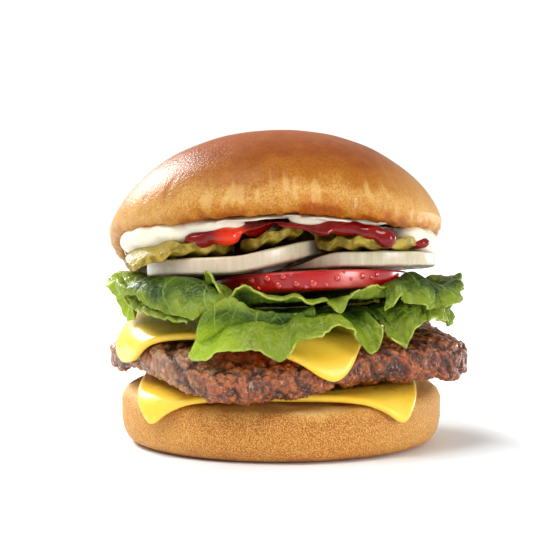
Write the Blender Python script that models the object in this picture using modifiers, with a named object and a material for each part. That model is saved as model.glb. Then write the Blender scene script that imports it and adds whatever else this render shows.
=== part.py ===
"""Cheeseburger: a round bun holding a square beef patty, two cheese slices, lettuce leaves, a tomato slice,
two onion slices, three pickle slices, ketchup and mayonnaise.

Sizes below are millimetres and become metres as each mesh is made. +Z is up, the burger's front faces -Y,
and the origin is the middle of the flat underside of the lower bun half, the heel.
"""

import math

import bmesh
import bpy
import numpy as np
from mathutils import Matrix, Vector, noise

MM = 0.001
GAP = 0.3  # free space left between two pieces that rest on each other

# The lower bun half, called the heel
HEEL_HEIGHT = 17.8
HEEL_PITCH = 0.034  # the cut face rises this much for each millimetre towards the back
HEEL_PROFILE = [  # radius, share of the height
    (0, 1.0), (26, 1.0), (41, 1.0), (47.0, 0.99), (49.4, 0.945), (50.8, 0.84), (51.3, 0.70),
    (51.1, 0.48), (50.6, 0.28), (49.4, 0.135), (47.4, 0.045), (44.3, 0.0), (20, 0.0), (0, 0.0),
]
HEEL_SEGMENTS = 36
HEEL_SHOULDER = slice(2, 10)  # the points of its profile that a slice of cheese hangs over

# Cheese slices
CHEESE_SIDE = 86.0
CHEESE_THICKNESS = 2.3
CHEESE_CORNER = 4.0
CHEESE_CELLS = 13
DRAPE_GAP = 0.6  # what a slice keeps to the rounded rim that it hangs over
BEND_LIFT = 1.0  # how much further it stands off where it bends
BEND_START = 9.0  # the lift grows over this distance before the rim
LOWER_CHEESE_CENTRE = (-0.6, -0.6)
LOWER_CHEESE_TURN = -1.5
UPPER_CHEESE_CENTRE = (-4.6, -2.4)
UPPER_CHEESE_TURN = 22.0 + 45.0

# The square patty
PATTY_CENTRE = (1.4, 1.0)
PATTY_TURN = 22.0
PATTY_HALF = 50.0
PATTY_POWER = 4.4  # exponent of the superellipse outline
PATTY_THICKNESS = 14.5
PATTY_ON_CHEESE = (30.0, 38.0)  # distances from the middle over which it rises onto the cheese's bend
PATTY_SAG = 1.8  # how far it sags past the cheese below it
PATTY_SAG_START = (1.5, 11.0)  # distances past the cheese over which it sags
PATTY_LEFT = (-32.0, -52.0)  # x from which its left corner sags more and is fuller, and where fully
PATTY_LEFT_SAG = 3.0
PATTY_LEFT_FULLER = 1.2
PATTY_FRONT_SAG = 3.3  # its front edge, past the cheese, sags this much
PATTY_FRONT_Y = (-43.8, -49.0)
PATTY_FRONT_X = (-40.0, -18.0)
PATTY_RISE = 0.02  # it is thicker to the right by this much for each millimetre
PATTY_EDGE = 0.44
PATTY_RIM_TURN = (60, 2)  # degrees of its rounded rim that the upper slice is laid over
# Below the middle of the patty's side the slice hangs: how much of it, and how far down that reaches
PATTY_HANG = [(4.6, 2.8), (6.4, 1.0)]
PATTY_CRAGS = 2.2
PATTY_CRAG_SIZE = 9.0
PATTY_CRAG_DIP = 0.05  # a crag dips the faces by this share for each millimetre of its depth
PATTY_SEGMENTS = 62
PATTY_RINGS = 12

# The heap of toppings leans back: it is lower by this much for each millimetre towards the back
HEAP_SLOPE = 0.115
HEAP_FRONT = -38.0  # the y where the heights below are given
CUT_EDGE = 0.19  # how square the rims of the cut slices are, 0 being square

# The tomato slice. Its faces: height at the middle, rise to the right, curve
TOMATO_CENTRE = (7.8, -12.0)
TOMATO_RADIUS = 32.0
TOMATO_BOTTOM = (50.4, 1.5, 0.0)
TOMATO_TOP = (56.95, 1.45, -0.45)

# The onion slices. The right one thins towards its left end, under the left one, which bends up over it
ONION_RIGHT_CENTRE = (24.3, -15.5)
ONION_RIGHT_RADIUS = 23.8
ONION_RIGHT_BOTTOM = 57.3
ONION_RIGHT_RISE = 0.028
ONION_RIGHT_THICKNESS = 4.8
ONION_RIGHT_THIN = 4.0
ONION_RIGHT_BEND = (17.0, 0.5)
ONION_LEFT_CENTRE = (-13.8, -15.5)
ONION_LEFT_RADIUS = 27.8
ONION_LEFT_BOTTOM = 55.3
ONION_LEFT_RISE = 0.27
ONION_LEFT_BEND = -13.0
ONION_LEFT_SOFT = 5.0
ONION_LEFT_THICKNESS = 5.4
# Distances from the left slice's middle, in radii, between which what lies on it comes down past its rim
ONION_STEP_LEFT = (1.4, 1.0)
ONION_STEP_RIGHT = (1.12, 0.98)

# Pickle slices, crinkle cut: centre, radius, roll up to the right, direction of the crinkles
PICKLES = {
    "pickle_left": {"centre": (-31.0, -23.5), "radius": 17.3, "roll": 0.0, "turn": 0.35},
    "pickle_middle": {"centre": (-2.6, -29.0), "radius": 10.2, "roll": 0.06, "turn": 0.2},
    "pickle_right": {"centre": (25.6, -24.0), "radius": 17.2, "roll": -0.02, "turn": -0.3},
}
PICKLE_THICKNESS = 3.6
PICKLE_DROOP = 2.4  # how far the left slice droops past the onion's front edge
PICKLE_DROOP_REACH = (1.5, 10.0)
PICKLE_DROOP_Y = (-26.0, -34.0)
CRINKLE_DEPTH = 0.55
CRINKLE_PITCH = 6.5

# The upper bun half, called the crown, in its own frame before it is tilted
CROWN_PLACE = (-1.4, 0.0, 60.3)
CROWN_TILT = -16.0  # about X, front edge up
CROWN_ROLL = -2.0  # about Y, right edge up
CROWN_RADIUS = 53.4
CROWN_DOME = 32.0
CROWN_EQUATOR = 5.0  # height of the widest ring above the cut face
CROWN_CUT_RADIUS = 49.4
CROWN_SHOULDER = 1.05  # exponent of the dome's profile, fuller below 1
CROWN_SLUMP = 0.12
CROWN_RIM = [(52.8, 2.2), (51.3, 0.6)]  # its rounded edge, between the widest ring and the cut
CROWN_CUT_RINGS = (42.0, 34.0, 25.0, 16.0, 8.0, 0.0)
CROWN_HOLLOW = 10.0  # the cut face bends up over the heap of toppings
CROWN_RIM_LUMPS = [  # where its rim leaves the plane of the cut: azimuth, half width in degrees, height
    (-78, 28, 3.0), (92, 22, 2.6), (46, 16, -1.6), (-122, 22, -2.6),
]
CROWN_RIM_LUMPS_IN = (20.0, 44.0)  # distances from the middle over which those lumps grow
CROWN_RIM_LUMPS_UP = 18.0  # height at which they have faded
CROWN_SEGMENTS = 40

# Sauces under the crown
MAYO_THICKNESS = 1.0
KETCHUP_THICKNESS = 1.0
SAUCE_LEAST = 0.3
SAUCE_GAP = 1.25  # between the two sauces
SAUCE_OVER_PICKLE = 1.3  # extra free space over a pickle's crinkles
SAUCE_PAST_PICKLE = (4.0, 2.0)  # distances past a pickle where the sauces no longer, and fully, clear it
SAUCE_PAST_ONIONS = (2.0, 14.0)  # distances past the onions over which the sauces may sink
SAUCE_FALL = 30.0
SAUCE_RIM = (30.0, 43.0)  # distances from the middle over which each grows to its rim's thickness
# Each one's radius, and where it reaches further out: azimuth, half width in degrees, extra reach
MAYO_RADIUS = 44.6
MAYO_REACH = [(-72, 28, 4.6), (80, 20, 5.0), (14, 26, 2.2), (-22, 16, 1.6)]
KETCHUP_RADIUS = 41.2
KETCHUP_REACH = [(-37, 7, 3.6), (-27, 6, 3.8), (20, 9, 3.0), (37, 6, 4.6), (66, 7, 2.5)]
# Where each is thicker near its rim: azimuth, half width in degrees, extra thickness
MAYO_LUMPS = [(-76, 20, 6.0), (80, 17, 6.5), (22, 9, 0.8), (-12, 8, 0.8)]
KETCHUP_LUMPS = [(-34, 14, 6.0), (-5, 12, 3.0), (20, 12, 4.0), (42, 10, 4.5), (64, 9, 3.0)]

# Lettuce leaves
LEAF_THICKNESS = 0.9
LEAF_ROOT = 14.0  # reach where a leaf starts
LEAF_CLEARANCE = 1.9  # free space left under the tomato and the onions
LEAF_BEFORE_CREST = 10.0  # a leaf's curve bends this far before its crest's reach, and this far past it
LEAF_PAST_CREST = 7.0
LEAF_BENDS = (1.0, 3.5)  # heights of those two bends above the crest
LEAF_ROWS = 6
LEAF_ROW_SPREAD = 0.8  # below 1, rows lie closer together towards the edge

COLOURS = {
    "bun": ((0.62, 0.33, 0.09), 0.45),
    "cheese": ((0.85, 0.50, 0.03), 0.35),
    "patty": ((0.16, 0.06, 0.03), 0.55),
    "lettuce": ((0.15, 0.28, 0.03), 0.4),
    "tomato": ((0.50, 0.02, 0.01), 0.2),
    "onion": ((0.78, 0.75, 0.66), 0.3),
    "pickle": ((0.26, 0.20, 0.03), 0.35),
    "ketchup": ((0.42, 0.01, 0.008), 0.15),
    "mayonnaise": ((0.85, 0.80, 0.68), 0.25),
}


def smooth_step(low, high, value):
    """0 at low, 1 at high, smooth between, and level past both. Low may be the greater of the two."""
    t = min(1.0, max(0.0, (value - low) / (high - low)))
    return t * t * (3 - 2 * t)


def bump(angle, centre, width):
    """A soft hill round the angle centre, in degrees, of half width width."""
    away = (angle - centre + 180) % 360 - 180
    return math.exp(-((away / width) ** 2))


def bumps(angle, lumps):
    """The sum of soft hills, each an azimuth, a half width in degrees and a height."""
    return sum(height * bump(angle, centre, width) for centre, width, height in lumps)


def front_angle(x, y):
    """Degrees round the stack: 0 at the front, 90 at the right, -90 at the left."""
    return math.degrees(math.atan2(x, -y))


def clear_scene():
    for obj in list(bpy.data.objects):
        bpy.data.objects.remove(obj, do_unlink=True)


def food_material(name):
    colour, roughness = COLOURS[name]
    made = bpy.data.materials.get(name)
    if made is None:
        made = bpy.data.materials.new(name)
        made.use_nodes = True
        surface = made.node_tree.nodes["Principled BSDF"]
        surface.inputs["Base Color"].default_value = (*colour, 1.0)
        surface.inputs["Roughness"].default_value = roughness
        surface.inputs["Metallic"].default_value = 0.0
    return made


def finished(name, mesh, material, collection):
    """An object for a mesh in metres, with its material, in the burger's collection."""
    obj = bpy.data.objects.new(name, mesh)
    obj.data.materials.append(food_material(material))
    obj.data.shade_smooth()
    collection.objects.link(obj)
    return obj


def turned_mesh(name, profile, segments):
    """A profile turned round Z by a Screw modifier, from the middle of its top to the middle of its base."""
    outline = bpy.data.meshes.new(name)
    points = [(r, 0.0, z) for r, z in profile]
    outline.from_pydata(points, [(i, i + 1) for i in range(len(points) - 1)], [])
    helper = bpy.data.objects.new(name + "_profile", outline)
    bpy.context.scene.collection.objects.link(helper)
    screw = helper.modifiers.new("turn", "SCREW")
    screw.steps = screw.render_steps = segments
    screw.use_merge_vertices = True
    screw.merge_threshold = 0.0001
    bpy.context.view_layer.update()
    graph = bpy.context.evaluated_depsgraph_get()
    mesh = bpy.data.meshes.new_from_object(helper.evaluated_get(graph))
    bpy.data.objects.remove(helper, do_unlink=True)
    bpy.data.meshes.remove(outline)
    return mesh


def shaped(mesh, place):
    """Moves every point of a mesh by the rule place(x, y, z), then turns millimetres into metres."""
    body = bmesh.new()
    body.from_mesh(mesh)
    bmesh.ops.remove_doubles(body, verts=body.verts, dist=0.001)
    for vert in body.verts:
        vert.co = Vector(place(*vert.co)) * MM
    bmesh.ops.triangulate(body, faces=body.faces)
    bmesh.ops.recalc_face_normals(body, faces=body.faces)
    body.to_mesh(mesh)
    body.free()
    return mesh


def disc_profile(rings, edge):
    """A flat round disc of radius 1 from z = 1 down to z = -1. A small edge exponent makes its rim square."""
    profile = []
    for i in range(rings + 1):
        latitude = math.pi / 2 - math.pi * i / rings
        radius = abs(math.cos(latitude)) ** edge if 0 < i < rings else 0.0
        height = math.copysign(abs(math.sin(latitude)) ** edge, latitude)
        profile.append((radius, height if abs(latitude) > 1e-9 else 0.0))
    return profile


def slice_of_food(name, material, collection, centre, radius, bottom, top, segments=30, rings=8, edge=0.4):
    """A round slice between the surfaces bottom(x, y) and top(x, y), with the outline radius(azimuth)."""

    def place(x, y, z):
        reach = math.hypot(x, y)
        angle = front_angle(x, y)
        px = centre[0] + x * radius(angle)
        py = centre[1] + y * radius(angle)
        low, high = bottom(px, py), top(px, py)
        return px, py, low + (high - low) * (z + 1) / 2 if reach < 2 else low

    mesh = shaped(turned_mesh(name, disc_profile(rings, edge), segments), place)
    return finished(name, mesh, material, collection)


def heel_top(x, y):
    return HEEL_HEIGHT + HEEL_PITCH * y


def make_heel(collection):
    def place(x, y, z):
        return x, y, z * heel_top(x, y)

    mesh = shaped(turned_mesh("bun_heel", HEEL_PROFILE, HEEL_SEGMENTS), place)
    return finished("bun_heel", mesh, "bun", collection)


def offset_path(points, distance):
    """A polyline of (across, height) moved outwards by distance, with its running length."""
    line = np.array(points, float)
    along = np.gradient(line, axis=0)
    along /= np.linalg.norm(along, axis=1)[:, None]
    moved = line + distance * np.stack([-along[:, 1], along[:, 0]], axis=1)
    steps = np.linalg.norm(np.diff(moved, axis=0), axis=1)
    return moved, np.concatenate([[0.0], np.cumsum(steps)])


def sample_path(path, distance):
    moved, length = path
    return (
        float(np.interp(distance, length, moved[:, 0])),
        float(np.interp(distance, length, moved[:, 1])),
    )


def rounded_square_point(u, v):
    """A point of the unit square with its corners drawn in by CHEESE_CORNER."""
    half = CHEESE_SIDE / 2
    x, y = u * half, v * half
    over_x = max(0.0, abs(x) - (half - CHEESE_CORNER))
    over_y = max(0.0, abs(y) - (half - CHEESE_CORNER))
    if over_x > 0 and over_y > 0:
        longest = max(over_x, over_y)
        shrink = longest / math.hypot(over_x, over_y)
        x = math.copysign(half - CHEESE_CORNER + over_x * shrink, x)
        y = math.copysign(half - CHEESE_CORNER + over_y * shrink, y)
    return x, y


def make_cheese(name, collection, centre, turn, drape):
    """A square slice whose flat points are laid over what carries it by drape(x, y)."""
    sheet = bmesh.new()
    bmesh.ops.create_grid(sheet, x_segments=CHEESE_CELLS, y_segments=CHEESE_CELLS, size=1.0)
    cos, sin = math.cos(math.radians(turn)), math.sin(math.radians(turn))
    for vert in sheet.verts:
        x, y = rounded_square_point(vert.co.x, vert.co.y)
        vert.co = Vector(drape(centre[0] + x * cos - y * sin, centre[1] + x * sin + y * cos)) * MM
    bmesh.ops.triangulate(sheet, faces=sheet.faces)
    mesh = bpy.data.meshes.new(name)
    sheet.to_mesh(mesh)
    sheet.free()
    obj = finished(name, mesh, "cheese", collection)
    thicken(obj, CHEESE_THICKNESS)
    return obj


def thicken(obj, thickness):
    """Gives a sheet its thickness, half on each side."""
    solidify = obj.modifiers.new("thickness", "SOLIDIFY")
    solidify.thickness = thickness * MM
    solidify.offset = 0.0
    solidify.use_even_offset = False


def heel_drape():
    """Lays a point on the heel: flat on its cut face, then down over its rim."""
    shoulder = [(r, z * HEEL_HEIGHT) for r, z in HEEL_PROFILE[HEEL_SHOULDER]]
    path = offset_path(shoulder, DRAPE_GAP + BEND_LIFT + CHEESE_THICKNESS / 2)
    start = shoulder[0][0]

    def drape(x, y):
        reach = math.hypot(x, y)
        if reach <= start:
            lift = DRAPE_GAP + BEND_LIFT * smooth_step(start - BEND_START, start, reach)
            return x, y, heel_top(x, y) + lift + CHEESE_THICKNESS / 2
        across, height = sample_path(path, reach - start)
        px, py = x * across / reach, y * across / reach
        return px, py, height * heel_top(px, py) / HEEL_HEIGHT

    return drape


def patty_norm(x, y):
    """Distance from the patty's middle, measured so that its outline is at PATTY_HALF."""
    turn = math.radians(PATTY_TURN)
    dx, dy = x - PATTY_CENTRE[0], y - PATTY_CENTRE[1]
    u = abs(dx * math.cos(turn) + dy * math.sin(turn))
    v = abs(-dx * math.sin(turn) + dy * math.cos(turn))
    return (u**PATTY_POWER + v**PATTY_POWER) ** (1 / PATTY_POWER)


def patty_bottom(x, y):
    carried = heel_top(x, y) + DRAPE_GAP + CHEESE_THICKNESS + 2 * GAP
    carried += BEND_LIFT * smooth_step(*PATTY_ON_CHEESE, math.hypot(x, y))
    past_cheese = max(abs(x), abs(y)) - CHEESE_SIDE / 2
    sag = PATTY_SAG + PATTY_LEFT_SAG * smooth_step(*PATTY_LEFT, x)
    sag *= smooth_step(*PATTY_SAG_START, past_cheese)
    front = PATTY_FRONT_SAG * smooth_step(*PATTY_FRONT_Y, y) * smooth_step(*PATTY_FRONT_X, x)
    return carried - max(sag, front)


def patty_top(x, y):
    fuller = PATTY_LEFT_FULLER * smooth_step(*PATTY_LEFT, x)
    return patty_bottom(x, y) + PATTY_THICKNESS + PATTY_RISE * x + fuller


def make_patty(collection):
    turn = math.radians(PATTY_TURN)

    def place(x, y, z):
        reach = math.hypot(x, y)
        angle = math.atan2(y, x)
        outline = abs(math.cos(angle)) ** PATTY_POWER + abs(math.sin(angle)) ** PATTY_POWER
        outline **= -1 / PATTY_POWER
        radius = PATTY_HALF * outline * reach
        px = PATTY_CENTRE[0] + radius * math.cos(angle + turn)
        py = PATTY_CENTRE[1] + radius * math.sin(angle + turn)
        low, high = patty_bottom(px, py), patty_top(px, py)
        pz = low + (high - low) * (z + 1) / 2
        crag = abs(noise.noise(Vector((px, py, pz)) / PATTY_CRAG_SIZE)) * PATTY_CRAGS
        inward = 1 - crag / PATTY_HALF
        middle = (low + high) / 2
        return (
            PATTY_CENTRE[0] + (px - PATTY_CENTRE[0]) * inward,
            PATTY_CENTRE[1] + (py - PATTY_CENTRE[1]) * inward,
            middle + (pz - middle) * (1 - crag * PATTY_CRAG_DIP),
        )

    mesh = shaped(turned_mesh("patty", disc_profile(PATTY_RINGS, PATTY_EDGE), PATTY_SEGMENTS), place)
    return finished("patty", mesh, "patty", collection)


def patty_drape():
    """Lays a point on the patty: flat on its top, then down over its side."""
    half_thick = PATTY_THICKNESS / 2
    rim = [
        (PATTY_HALF * math.cos(a) ** PATTY_EDGE, half_thick * math.sin(a) ** PATTY_EDGE)
        for a in np.radians(np.linspace(*PATTY_RIM_TURN, 25))
    ]
    moved, length = offset_path(rim, DRAPE_GAP + BEND_LIFT + CHEESE_THICKNESS / 2)
    for spent, drop in PATTY_HANG:
        moved = np.vstack([moved, moved[-1] - (0, drop)])
        length = np.append(length, length[-1] + spent)
    start = rim[0][0]
    flat = moved[0][1]

    def drape(x, y):
        norm = patty_norm(x, y)
        if norm <= start:
            lift = DRAPE_GAP + BEND_LIFT * smooth_step(start - BEND_START, start, norm)
            return x, y, patty_top(x, y) + lift + CHEESE_THICKNESS / 2
        across, height = sample_path((moved, length), norm - start)
        share = across / norm
        px = PATTY_CENTRE[0] + (x - PATTY_CENTRE[0]) * share
        py = PATTY_CENTRE[1] + (y - PATTY_CENTRE[1]) * share
        return px, py, patty_top(px, py) + DRAPE_GAP + BEND_LIFT + CHEESE_THICKNESS / 2 + height - flat

    return drape


def heap_lean(y):
    return -HEAP_SLOPE * (y - HEAP_FRONT)


def tomato_face(face, x, y):
    across = (x - TOMATO_CENTRE[0]) / TOMATO_RADIUS
    return face[0] + face[1] * across + face[2] * across**2 + heap_lean(y)


def tomato_bottom(x, y):
    return tomato_face(TOMATO_BOTTOM, x, y)


def tomato_top(x, y):
    return tomato_face(TOMATO_TOP, x, y)


def make_tomato(collection):
    def outline(angle):
        return TOMATO_RADIUS * (1 + 0.012 * math.cos(math.radians(3 * angle)))

    slice_of_food(
        "tomato", "tomato", collection, TOMATO_CENTRE, outline, tomato_bottom, tomato_top,
        segments=36, rings=8, edge=CUT_EDGE,
    )


def onion_right_bottom(x, y):
    return ONION_RIGHT_BOTTOM + ONION_RIGHT_RISE * x + heap_lean(y)


def onion_right_top(x, y):
    """The slice thins towards its left end, where the left slice lies on it."""
    thin = ONION_RIGHT_THIN * smooth_step(*ONION_RIGHT_BEND, x)
    return onion_right_bottom(x, y) + ONION_RIGHT_THICKNESS - thin


def onion_left_bottom(x, y):
    past_bend = x - ONION_LEFT_BEND
    rise = ONION_LEFT_RISE * (past_bend + math.hypot(past_bend, ONION_LEFT_SOFT)) / 2
    return ONION_LEFT_BOTTOM + rise + heap_lean(y)


def onion_left_top(x, y):
    return onion_left_bottom(x, y) + ONION_LEFT_THICKNESS


def onions_top(x, y):
    """The upper surface of the two onion slices together."""
    reach_left = math.hypot(x - ONION_LEFT_CENTRE[0], y - ONION_LEFT_CENTRE[1]) / ONION_LEFT_RADIUS
    left = onion_left_top(x, y)
    right = onion_right_top(x, y)
    step = ONION_STEP_LEFT if x < ONION_LEFT_CENTRE[0] else ONION_STEP_RIGHT
    return right + max(0.0, left - right) * smooth_step(*step, reach_left)


def make_onions(collection):
    slice_of_food(
        "onion_right", "onion", collection, ONION_RIGHT_CENTRE, lambda angle: ONION_RIGHT_RADIUS,
        onion_right_bottom, onion_right_top, segments=30, rings=8, edge=CUT_EDGE,
    )
    slice_of_food(
        "onion_left", "onion", collection, ONION_LEFT_CENTRE, lambda angle: ONION_LEFT_RADIUS,
        onion_left_bottom, onion_left_top, segments=30, rings=8, edge=CUT_EDGE,
    )


def crinkle(x, y, turn):
    """The wave that a crinkle cutter leaves across a slice."""
    along = x * math.cos(turn) + y * math.sin(turn)
    return CRINKLE_DEPTH * math.sin(2 * math.pi * along / CRINKLE_PITCH)


def pickle_bottom(pickle, x, y):
    lift = pickle["roll"] * (x - pickle["centre"][0] + pickle["radius"])
    past_onion = math.hypot(x - ONION_LEFT_CENTRE[0], y - ONION_LEFT_CENTRE[1]) - ONION_LEFT_RADIUS
    if x < 0:
        lift -= PICKLE_DROOP * smooth_step(*PICKLE_DROOP_REACH, past_onion) * smooth_step(*PICKLE_DROOP_Y, y)
    return onions_top(x, y) + 1.7 * GAP + CRINKLE_DEPTH + lift + crinkle(x, y, pickle["turn"])


def pickle_top(pickle, x, y):
    return pickle_bottom(pickle, x, y) + PICKLE_THICKNESS


def make_pickle(name, collection):
    """A crinkled slice lying on the onions, with a rough round outline."""
    pickle = PICKLES[name]

    def outline(angle):
        return pickle["radius"] * (1 + 0.02 * math.cos(math.radians(2 * angle + 40)))

    return slice_of_food(
        name, "pickle", collection, pickle["centre"], outline, lambda x, y: pickle_bottom(pickle, x, y),
        lambda x, y: pickle_top(pickle, x, y), segments=round(2.1 * pickle["radius"]), rings=8, edge=0.35,
    )


def toppings_top(x, y):
    """The highest surface of the onions and pickles under the sauces, with a margin round each slice."""
    past_left = math.hypot(x - ONION_LEFT_CENTRE[0], y - ONION_LEFT_CENTRE[1]) - ONION_LEFT_RADIUS
    past_right = math.hypot(x - ONION_RIGHT_CENTRE[0], y - ONION_RIGHT_CENTRE[1]) - ONION_RIGHT_RADIUS
    highest = onions_top(x, y) - SAUCE_FALL * smooth_step(*SAUCE_PAST_ONIONS, min(past_left, past_right))
    for pickle in PICKLES.values():
        away = math.hypot(x - pickle["centre"][0], y - pickle["centre"][1]) - pickle["radius"]
        if away < SAUCE_PAST_PICKLE[0]:
            above = pickle_top(pickle, x, y) + SAUCE_OVER_PICKLE - highest
            highest += max(0.0, above) * smooth_step(*SAUCE_PAST_PICKLE, away)
    return highest


def crown_matrix():
    tilt = Matrix.Rotation(math.radians(CROWN_TILT), 4, "X")
    roll = Matrix.Rotation(math.radians(CROWN_ROLL), 4, "Y")
    return Matrix.Translation(Vector(CROWN_PLACE)) @ roll @ tilt


def hollow(reach):
    """Height of the crown's cut face above its rim."""
    return CROWN_HOLLOW * max(0.0, 1 - (reach / CROWN_CUT_RADIUS) ** 2)


def crown_lift(x, y, z):
    """How far the crown's rim bends up or down from the plane of the cut."""
    lift = bumps(front_angle(x, y), CROWN_RIM_LUMPS) * smooth_step(*CROWN_RIM_LUMPS_IN, math.hypot(x, y))
    return lift * (1 - smooth_step(0.0, CROWN_RIM_LUMPS_UP, z))


def crown_under(x, y):
    """Height of the crown's cut face above a point of the floor plane."""
    placed = crown_matrix()
    px, py = x, y
    for _ in range(6):
        point = placed @ Vector((px, py, hollow(math.hypot(px, py)) + crown_lift(px, py, 0)))
        px += x - point.x
        py += y - point.y
    return point.z


def make_crown(collection):
    profile = []
    for step in range(10):  # the dome, from its top to its widest ring
        a = math.pi / 2 * (1 - step / 9)
        reach = CROWN_RADIUS * math.cos(a) ** CROWN_SHOULDER if step else 0.0
        profile.append((reach, CROWN_EQUATOR + CROWN_DOME * math.sin(a)))
    profile += CROWN_RIM + [(CROWN_CUT_RADIUS, 0.0)]
    profile += [(reach, hollow(reach)) for reach in CROWN_CUT_RINGS]
    placed = crown_matrix()

    def place(x, y, z):
        rise = max(0.0, z - CROWN_EQUATOR) / CROWN_DOME
        slump = 1 - CROWN_SLUMP * rise * (1 - rise)
        return placed @ Vector((x * slump, y, z + crown_lift(x, y, z)))

    mesh = shaped(turned_mesh("bun_crown", profile, CROWN_SEGMENTS), place)
    return finished("bun_crown", mesh, "bun", collection)


def mayo_radius(angle):
    return MAYO_RADIUS + bumps(angle, MAYO_REACH)


def sauce_thickness(thin, x, y, lumps):
    """A thin layer that is thicker near its rim, at each lump's azimuth."""
    return thin + smooth_step(*SAUCE_RIM, math.hypot(x, y)) * bumps(front_angle(x, y), lumps)


def mayo_top(x, y):
    return crown_under(x, y) - 1.5 * GAP


def mayo_bottom(x, y):
    """The mayonnaise keeps its own thickness, but stays above the toppings and the ketchup on them."""
    thickness = sauce_thickness(MAYO_THICKNESS, x, y, MAYO_LUMPS)
    return max(mayo_top(x, y) - thickness, toppings_top(x, y) + GAP + SAUCE_GAP + SAUCE_LEAST)


def ketchup_top(x, y):
    return mayo_bottom(x, y) - SAUCE_GAP


def ketchup_bottom(x, y):
    """The ketchup lies on the toppings where they are high, and keeps its own thickness elsewhere."""
    thickness = sauce_thickness(KETCHUP_THICKNESS, x, y, KETCHUP_LUMPS)
    return max(ketchup_top(x, y) - thickness, toppings_top(x, y) + GAP)


def make_mayonnaise(collection):
    return slice_of_food(
        "mayonnaise", "mayonnaise", collection, CROWN_PLACE[:2], mayo_radius, mayo_bottom, mayo_top,
        segments=42, rings=10, edge=0.5,
    )


def ketchup_radius(angle):
    return KETCHUP_RADIUS + bumps(angle, KETCHUP_REACH)


def make_ketchup(collection):
    return slice_of_food(
        "ketchup", "ketchup", collection, CROWN_PLACE[:2], ketchup_radius, ketchup_bottom, ketchup_top,
        segments=42, rings=10, edge=0.5,
    )


# Each leaf runs from its root, near the middle, over a crest and down to its edge.
# edge: azimuth in degrees, reach and height; crest: azimuth, reach and height; below: extra free space that
# it leaves under the slices, for the leaf that lies on it.
LEAVES = {
    "lettuce_left": {
        "root": 42.0, "cells": 30, "below": 0.0,
        "edge": [
            (-118, 50, 46), (-110, 54, 51.5), (-98, 57, 49.5), (-90, 55, 48.5), (-85, 52, 45),
            (-80, 49.5, 40.2), (-73, 48.5, 39.6), (-68, 51, 43), (-62, 54, 48), (-57, 54.5, 46),
            (-47, 56, 44), (-38, 57, 43), (-29, 58, 41.5),
        ],
        "crest": [
            (-118, 38, 47), (-95, 40, 51), (-70, 40, 54), (-45, 41, 53.5), (-36, 41, 52), (-29, 40, 50.5),
        ],
    },
    "lettuce_front": {
        "root": 42.0, "cells": 30, "below": 2.2,
        "edge": [
            (-26.5, 60.5, 34), (-21, 60.5, 32.2), (-15, 59.5, 34.8), (-7, 58, 34.8), (0, 57.5, 32.2),
            (6, 57, 38.2), (12, 57, 38.6), (17, 57, 42), (23, 57.5, 36.5), (28, 58, 34.2), (32, 57.5, 40),
        ],
        "crest": [(-27, 40, 45), (0, 42, 46), (32, 42, 45.5)],
    },
    "lettuce_right": {
        "root": 42.0, "cells": 30, "below": 2.2,
        "edge": [
            (34, 58, 38), (38, 58.5, 35.2), (44, 58, 39.5), (50, 57.5, 43), (56, 58, 41.5), (64, 58, 39.5),
            (72, 56.5, 38.9), (79, 54, 43), (85, 52, 45.5), (90, 56.5, 49), (94, 57.5, 52),
            (99, 55, 51.5), (106, 51, 49),
            (114, 50, 46),
        ],
        "crest": [
            (34, 42, 45.5), (48, 42, 47), (58, 42, 53.5), (70, 42, 52.5), (84, 42, 48), (98, 40, 47),
            (114, 38, 46),
        ],
    },
    "lettuce_back": {
        "root": 41.5, "cells": 22, "below": 0.0,
        "edge": [
            (116, 50, 45), (127, 55, 48), (138, 57, 43), (150, 56, 45.5), (161, 58, 42), (172, 56, 44.6),
            (184, 57, 42), (196, 55, 44.8), (208, 58, 42), (220, 57, 46), (230, 55, 45), (240, 50, 46),
        ],
        "crest": [(116, 36, 45), (180, 38, 44), (240, 36, 45)],
    },
    "lettuce_collar": {
        "root": 44.5, "cells": 34, "below": 0.0,
        "edge": [
            (-28, 46, 52), (-25, 53, 57.4), (-21.5, 52.5, 53.6), (-17.8, 51.5, 49.4), (-14.5, 52, 52.6),
            (-11.5, 52, 53.9), (-7, 51.5, 51.4), (-2, 51, 49.6), (5, 51, 50), (10, 51, 48),
            (15, 51.5, 49.4), (20.5, 51.5, 45.4),
            (25, 51, 50.5), (31, 51, 53), (38, 50.5, 51.5), (45, 50, 54.2), (50, 49, 52),
        ],
        "crest": [(-28, 40, 50), (0, 40, 48.6), (30, 41, 50), (50, 41, 51)],
    },
}


def along_list(points, azimuth):
    """Reach and height at an azimuth, on a smooth curve through points of (azimuth, reach, height)."""
    last = len(points) - 2
    index = max(0, min(last, sum(1 for p in points[1:] if p[0] <= azimuth)))
    a, b = points[index], points[index + 1]
    before, after = points[max(0, index - 1)], points[min(last + 1, index + 2)]
    t = (azimuth - a[0]) / (b[0] - a[0])
    found = []
    for k in (1, 2):
        rise_a = (b[k] - before[k]) / (b[0] - before[0]) * (b[0] - a[0])
        rise_b = (after[k] - a[k]) / (after[0] - a[0]) * (b[0] - a[0])
        found.append(
            (2 * t**3 - 3 * t**2 + 1) * a[k] + (t**3 - 2 * t**2 + t) * rise_a
            + (3 * t**2 - 2 * t**3) * b[k] + (t**3 - t**2) * rise_b
        )
    return found


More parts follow.
